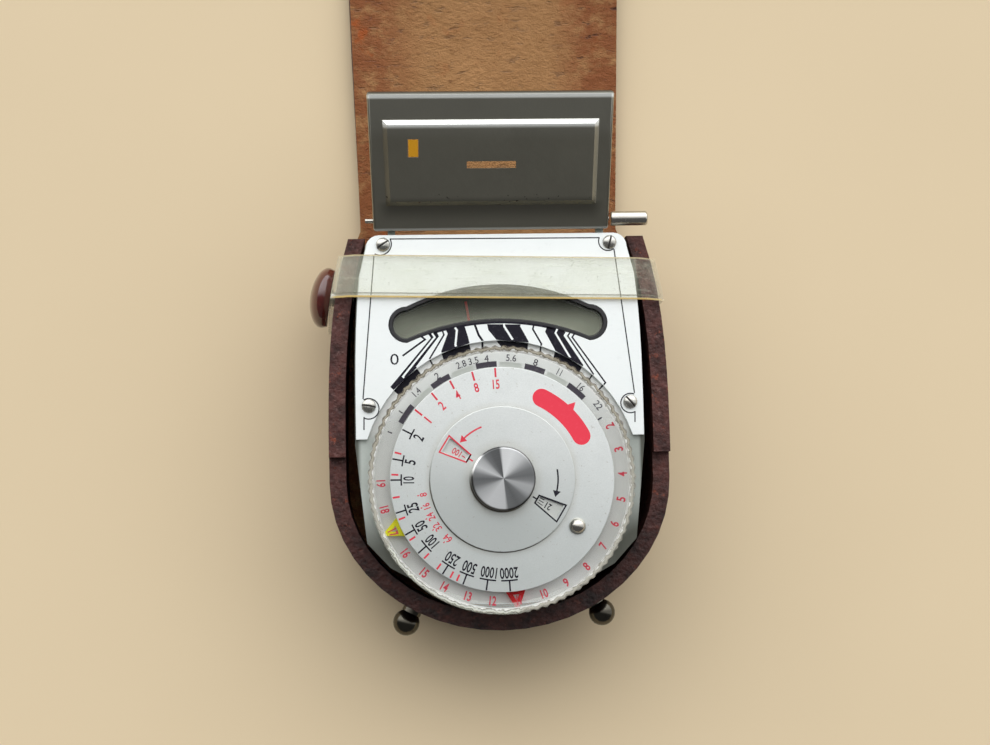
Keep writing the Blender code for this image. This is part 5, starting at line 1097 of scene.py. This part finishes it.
def stroke(points, width):
    """The outline of a line of even width through the points."""
    left, right = [], []
    for place, point in enumerate(points):
        before = Vector(points[max(place - 1, 0)])
        after = Vector(points[min(place + 1, len(points) - 1)])
        here_point = Vector(point)
        ways = [way.normalized() for way in (here_point - before, after - here_point) if way.length > 0]
        along = sum(ways, Vector((0, 0))).normalized()
        across = Vector((-along.y, along.x))
        half = width / 2 / max(0.4, across.dot(Vector((-ways[0].y, ways[0].x))))
        left.append(tuple(here_point + across * half))
        right.append(tuple(here_point - across * half))
    return left + right[::-1]


def block(inner, outer, middle, half_angle):
    """A block between two radii, half_angle degrees to each side of its middle."""
    steps = max(2, int(half_angle))
    low = bow(inner, middle - half_angle, middle + half_angle, steps)
    return low + bow(outer, middle + half_angle, middle - half_angle, steps)


def ticks(angles, inner, outer, width):
    """Short radial lines at the angles, between two radii."""
    return [stroke([polar(inner, degrees), polar(outer, degrees)], width) for degrees in angles]


# %% [markdown]
# ## Printed numbers
# A number could be traced as an outline too, but a text object gives clean digits at once. The
# printed digits are narrower than the font's. So the text is made a mesh, stretched to its printed
# height and width about its middle, turned, and moved to its place on the dial.


# %% One number
def printed_number(level, text, height, width, place, turn, bold=0.0):
    """One number in ink, its middle at place, its foot line turned by turn degrees."""
    bpy.ops.object.select_all(action="DESELECT")
    bpy.ops.object.text_add()
    label = bpy.context.object
    label.data.body = text
    label.data.size = height * MM
    label.data.resolution_u = 3
    label.data.extrude = INK / 2 * MM
    label.data.offset = bold * MM
    bpy.ops.object.convert(target="MESH")
    label = bpy.context.object
    corners = [point.co for point in label.data.vertices]
    low = Vector([min(corner[axis] for corner in corners) for axis in range(3)])
    high = Vector([max(corner[axis] for corner in corners) for axis in range(3)])
    size = high - low
    grow = Matrix.Diagonal((width * MM / size.x, height * MM / size.y, 1.0, 1.0))
    label.data.transform(Matrix.Translation((place[0] * MM, place[1] * MM, level * MM))
                         @ Matrix.Rotation(math.radians(turn), 4, "Z") @ grow
                         @ Matrix.Translation(-(low + high) / 2))
    return label


# %% One printed scale
def print_scale(name, body, level, ink, slot, outlines=(), numbers=()):
    """Draws the outlines and numbers of one colour on one piece and joins them."""
    sheet = sheet_of_ink(name)
    for points in outlines:
        draw_filled(points, level)
    bpy.ops.object.mode_set(mode="OBJECT")
    labels = [printed_number(level, *number) for number in numbers]
    pick(sheet)
    for piece in labels:
        piece.select_set(True)
    if labels:
        bpy.ops.object.join()
    weld_outwards(WELD / 2)
    dress(sheet, ink, body, slot)
    print(name, len(sheet.data.polygons), "faces")


# %% [markdown]
# ## Inks
# The print is some seventy years old. Its black has gone bluish and its reds pink, each by as much
# as hands have rubbed it. One ink for each colour would do, but the shades differ from scale to
# scale. So one recipe mixes a colour with its faded tone where a noise says that it is worn.


# %% Inks
def printing_ink(name, colour, faded):
    """Ink that is worn thin in places."""
    finish = Finish(name)
    wear = step(finish, clouds(finish, 0.0007, 4.0, 0.65), 0.52, 0.72)
    finish.surface(Base_Color=blend(finish, colour, faded, wear * 0.5), Roughness=wear * 0.2 + 0.45,
                   Specular_IOR_Level=0.12)
    return finish.material


black_ink = printing_ink("black_ink", tint(30, 28, 38), tint(70, 68, 76))
red_ink = printing_ink("red_ink", tint(214, 62, 78), tint(222, 104, 112))
faded_red = printing_ink("faded_red_ink", tint(186, 58, 74), tint(200, 110, 116))
label_red = printing_ink("label_red_ink", tint(232, 66, 84), tint(236, 86, 100))
pale_ink = printing_ink("pale_grey_ink", tint(172, 176, 170), tint(188, 192, 186))
dial_grey = printing_ink("dark_grey_ink", tint(66, 62, 70), tint(96, 92, 96))
print("inks mixed")

# %% [markdown]
# ## Numbers round a dial
# The clear dial carries the f-numbers with dark and pale blocks under them, and the light values
# round the rest. A number on a dial stands with its top outwards or with its top to the middle.
# Each could be placed by hand, but both come from its angle: a quarter turn less, or a quarter
# turn more. A 1 and a point are narrower than the other digits.


# %% Scales on the clear dial
NARROW = {"1": 0.5, ".": 0.3}
LONE_ONE = 0.36


def numbers_round(places, radius, height, digit, bold, outwards=True):
    """Numbers at their angles on the dial, each digit of them digit millimetres wide."""
    numbers = []
    for text, degrees in places.items():
        turn = degrees - 90 if outwards else degrees + 90
        wide = LONE_ONE if text == "1" else sum(NARROW.get(letter, 1.0) for letter in text)
        numbers.append((text, height, digit * wide, polar(radius, degrees), turn, bold))
    return numbers


DIAL_FLOOR = 29.5
BLOCK_FOOT = 21.25
f_numbers = {"1.4": 133.4, "2": 121.1, "2.8": 108.5, "3.5": 102.5, "4": 96.2, "5.6": 84.5, "8": 72.7,
             "11": 60.5, "16": 48.1, "22": 36.4}
value_angles = (25.2, 13.3, 1.3, -10.6, -22.7, -34.4, -47.0, -59.3, -70.9, -83.3, -95.6, -107.5, -119.4,
                -131.0, -143.7, -155.0, -166.6, -179.0)
light_values = dict(zip(map(str, range(2, 20)), value_angles))
dark_blocks = (144.8, 121.0, 96.7, 72.3, 48.7)
print_scale("aperture_numbers", "aperture_dial", DIAL_FLOOR, dial_grey, "black",
            outlines=[block(BLOCK_FOOT, 22.30, middle, 5.2) for middle in dark_blocks]
            + ticks((145.4, 156.3), 22.4, 23.3, 0.24) + ticks((30.6,), 21.3, 22.2, 0.32),
            numbers=numbers_round(f_numbers, 22.95, height=1.3, digit=0.84, bold=0.01))
print_scale("aperture_blocks", "aperture_dial", DIAL_FLOOR, pale_ink, "silver_cast",
            outlines=[block(BLOCK_FOOT, 22.15, middle - 12.1, 5.6) for middle in dark_blocks[:-1]])
print_scale("light_value_numbers", "aperture_dial", DIAL_FLOOR, faded_red, "index_red",
            numbers=numbers_round(light_values, 22.75, height=1.75, digit=0.86, bold=0.045, outwards=False))

# %% [markdown]
# ## The shutter scale
# Red numbers are whole seconds and black ones are parts of a second. Each has a line that points
# at the rim, and the black ones stand on a bar as well. The bars bend round the axis. A straight
# bar would look right on the short ones only, so each is a stroke along a bow.


# %% Scales on the shutter disc
DISC_TOP = 30.3
BAR_HALVES = (3.2, 3.2, 4.3, 4.7)
BAR_RADIUS = 18.95
whole_seconds = {"15": 92.6, "8": 104.7, "4": 117.0, "2": 128.4, "1": 140.5}
second_parts = {"2": 152.6, "5": 168.5, "10": 179.4, "25": -163.4, "50": -151.3, "100": -139.9,
                "250": -123.5, "500": -111.8, "1000": -99.5, "2000": -87.2}
short_ticks = (165.0, 176.6, -171.4, -159.8, -147.8, -135.9, -127.3, -119.2, -115.5)
film_rates = {"8": -170.0, "16": -161.5, "24": -153.5, "32": -145.0, "64": -134.0}


def bar_by(text, degrees):
    """The bar beside a number, wider beside longer numbers."""
    half = BAR_HALVES[len(text) - 1]
    return stroke(bow(BAR_RADIUS, degrees - half, degrees + half, 3), 0.28)


print_scale("long_time_numbers", "shutter_dial", DISC_TOP, red_ink, "index_red",
            outlines=ticks(whole_seconds.values(), 19.2, 20.95, 0.36)
            + ticks(short_ticks, 19.5, 20.8, 0.34) + ticks(film_rates.values(), 15.9, 16.25, 0.2),
            numbers=numbers_round(whole_seconds, 17.85, height=1.8, digit=0.86, bold=0.035)
            + numbers_round(film_rates, 15.1, height=1.35, digit=0.72, bold=0.02))
print_scale("short_time_numbers", "shutter_dial", DISC_TOP, black_ink, "black",
            outlines=ticks(second_parts.values(), 18.9, 20.95, 0.30)
            + [bar_by(text, degrees) for text, degrees in second_parts.items()],
            numbers=numbers_round(second_parts, 17.55, height=2.1, digit=0.86, bold=0.04))

# %% [markdown]
# ## The red field
# A red field shows where the light value is read. It has round ends and a small pointer on its
# outer side. A thick stroke would have square ends and no pointer, so its outline is drawn from
# five bows and one tip.


# %% The red field on the shutter disc
def rounded_field(radius, half, start, end):
    """A bent field with round ends, and a small pointer on its outer side."""
    tip = (start + end) / 2
    outer = bow(radius + half, start, tip - 2.2, 8) + [polar(radius + half + 1.3, tip)]
    outer += bow(radius + half, tip + 2.2, end, 8)
    far = bow(half, end, end + 180, 12, polar(radius, end))[1:-1]
    inner = bow(radius - half, end, start, 14)
    near = bow(half, start + 180, start + 360, 12, polar(radius, start))[1:-1]
    return outer + far + inner + near


print_scale("red_value_field", "shutter_dial", DISC_TOP, label_red, "index_red",
            outlines=[rounded_field(radius=17.0, half=1.72, start=27.5, end=63.0)])

# %% [markdown]
# ## The film scale
# The film disc has two windows that show one film speed each from the disc below. A thin line
# runs round each window, and a bent arrow points at it. The numbers that show in the windows are
# printed on the shutter disc, so they stay there when the film disc turns.


# %% Scales on the film disc
FILM_TOP = 31.1
FRAME_LINE = 0.28
FRAME_CORNERS = ((7.45, -0.82), (7.45, 0.82), (12.75, 1.78), (12.75, -1.78))


def window_frame(middle):
    """A line round a window of the film disc, wider outside, with a short tick on its inner side."""
    aside = math.radians(middle + 90)
    corners = []
    for radius, half in FRAME_CORNERS:
        x, y = polar(radius, middle)
        corners.append((x + half * math.cos(aside), y + half * math.sin(aside)))
    return [stroke(corners + corners[:2], FRAME_LINE)] + ticks((middle,), 6.5, 7.4, FRAME_LINE)


def arrow(radius, start, end, head):
    """A bent arrow from start to end, its head head degrees long."""
    back = end - head if end > start else end + head
    tail = stroke(bow(radius, start, back, 8), 0.3)
    barb = [polar(radius - 0.75, back), polar(radius, end), polar(radius + 0.75, back)]
    return [tail, barb]


print_scale("red_film_marks", "film_dial", FILM_TOP, red_ink, "index_red",
            outlines=window_frame(148.0) + arrow(10.5, start=111.0, end=138.5, head=6.5))
print_scale("black_film_marks", "film_dial", FILM_TOP, black_ink, "black",
            outlines=window_frame(-31.5) + arrow(10.4, start=9.0, end=-20.0, head=6.5))
print_scale("red_film_number", "shutter_dial", DISC_TOP, red_ink, "index_red",
            outlines=ticks((149,), 8.1, 8.8, 0.2),
            numbers=[("100", 1.25, 1.75, polar(9.95, 148.6), 148.0, 0.02)])
print_scale("black_film_number", "shutter_dial", DISC_TOP, black_ink, "black",
            outlines=[outline for row in range(3)
                      for outline in ticks((-34.4 + 3.4 * row,), 7.9, 9.0 - 0.1 * row, 0.15)],
            numbers=[("21", 1.25, 1.15, polar(10.0, -32.0), 148.0, 0.02)])

# %% [markdown]
# ## The printed plate
# Black fields fan down from the window to the f-numbers on the dial, split by thin white
# lines, so the eye can follow the needle. Each field is drawn between its two side lines, which
# stop where the plate is cut round the dial. A stencil of strokes would leave gaps at the bends,
# and an outline doesn't.


# %% Where the fan ends
PLATE_CUT = 26.5
RUN_ON = 2.0


def cut_at_dial(line, radius=PLATE_CUT):
    """Shortens a line where it would run past a circle round the dial's axis."""
    kept = []
    for start, end in zip(line, line[1:]):
        kept.append(start)
        if math.hypot(*end) < radius:
            low, high = 0.0, 1.0
            for _ in range(20):
                middle = (low + high) / 2
                spot = [start[axis] + (end[axis] - start[axis]) * middle for axis in range(2)]
                low, high = (middle, high) if math.hypot(*spot) > radius else (low, middle)
            return kept + [tuple(spot)]
    return kept + [line[-1]]


def field_between(left, right, radius=PLATE_CUT):
    """The field between two side lines, closed along the window and along the dial."""
    left, right = cut_at_dial(left, radius), cut_at_dial(right, radius)
    return left + right[::-1]


def run_on(line):
    """The line with its last stretch made longer."""
    before, last = Vector(line[-2]), Vector(line[-1])
    return line + [tuple(last + (last - before).normalized() * RUN_ON)]


# %% Fan of fields
side_lines = [
    ([(-13.44, 27.85), (-12.86, 27.04), (-20.69, 17.85), (-19.56, 16.76)],
     [(-11.76, 28.19), (-11.34, 27.30), (-15.78, 21.63), (-15.15, 20.74)]),
    ([(-10.01, 28.52), (-9.66, 27.79), (-10.96, 24.46), (-10.62, 23.29)],
     [(-6.45, 29.20), (-5.82, 27.15), (-5.35, 25.02)]),
    ([(-2.14, 29.50), (-1.94, 28.41), (-0.25, 26.26)],
     [(4.24, 29.35), (4.15, 28.99), (5.69, 26.09), (5.61, 25.16)]),
    ([(9.27, 28.91), (8.88, 27.88), (10.76, 24.26), (10.61, 23.61)],
     [(12.81, 27.82), (12.38, 27.10), (16.02, 21.41), (15.64, 20.69)]),
]
white_lines = [
    ([(-12.64, 27.91), (-12.14, 27.16), (-18.27, 19.77), (-17.28, 18.75)], 0.36),
    ([(-8.26, 28.94), (-7.91, 28.42), (-8.24, 25.66), (-7.78, 24.26)], 0.40),
    ([(1.04, 29.61), (1.10, 29.03), (2.78, 26.29), (2.70, 25.41)], 0.40),
    ([(11.22, 28.37), (10.84, 27.62), (13.52, 22.92), (13.19, 22.18)], 0.36),
]
black_lines = [
    ([(-14.68, 27.35), (-13.97, 26.75), (-18.28, 23.70)], 0.34),
    ([(-10.66, 28.38), (-10.39, 27.58), (-13.16, 23.11), (-12.67, 22.15)], 0.30),
    ([(-4.47, 29.40), (-3.78, 27.42), (-3.08, 26.38), (-3.03, 25.22)], 0.42),
    ([(6.79, 29.31), (6.54, 28.43), (8.10, 25.62), (8.00, 24.45)], 0.32),
    ([(13.69, 27.74), (13.18, 27.02), (17.89, 19.70), (17.43, 19.05)], 0.29),
    ([(14.57, 27.57), (14.03, 26.77), (20.18, 17.98), (19.43, 17.19)], 0.29),
]
window_lip = (0, -13.3)
fields = [field_between(left, right) for left, right in side_lines]
fields.append(bow(42.9, 107.5, 73.0, 30, window_lip) + bow(43.3, 73.0, 107.5, 30, window_lip))
fields += [stroke(cut_at_dial(line), width) for line, width in black_lines]
print(len(side_lines), "fields,", len(white_lines), "white lines,", len(black_lines), "black lines")

# %% [markdown]
# ## The border and the deck
# A thin black line runs round the plate and swerves round its four screws: five straight strokes
# and four bows. One closed outline would need a second one inside it, and strokes don't. Where the
# plate is cut round the dial, the deck of the housing shows through the clear rim. The fan goes on
# there, so its lines are made longer and cut at a smaller circle.


# %% Border line, and the fan on the deck
PLATE_TOP = 28.0
DECK_TOP = 26.8
DECK_CUT = 24.9
WHITE_CUT = 26.6
OVER_BLACK = 0.02
BORDER = 0.22
border = [
    [(-20.35, 46.06), (19.77, 45.85)],
    [(-23.38, 43.03), (-25.87, 15.65)],
    [(22.49, 43.63), (25.67, 15.92)],
    [(-25.73, 12.25), (-25.77, 9.80)],
    [(25.67, 12.49), (25.61, 10.40)],
    bow(2.15, 26.0, -119.0, 14, (-22.21, 45.13)),
    bow(1.78, 155.0, 308.0, 14, (21.34, 45.13)),
    bow(1.95, 119.0, -120.0, 18, (-24.83, 13.78)),
    bow(1.85, 66.0, 298.0, 18, (24.85, 14.03)),
]
print_scale("plate_black_print", "case", PLATE_TOP, black_ink, "black",
            outlines=fields + [stroke(line, BORDER) for line in border],
            numbers=[("0", 2.1, 1.6, (-19.82, 23.08), 0.0)])
print_scale("plate_white_lines", "case", PLATE_TOP + OVER_BLACK, METALS["silver_plate"], "silver_plate",
            outlines=[stroke(cut_at_dial(line, WHITE_CUT), width) for line, width in white_lines])
print_scale("deck_black_print", "case", DECK_TOP, black_ink, "black",
            outlines=[field_between(run_on(left), run_on(right), DECK_CUT) for left, right in side_lines]
            + [stroke(cut_at_dial(run_on(line), DECK_CUT), width) for line, width in black_lines[1:]])
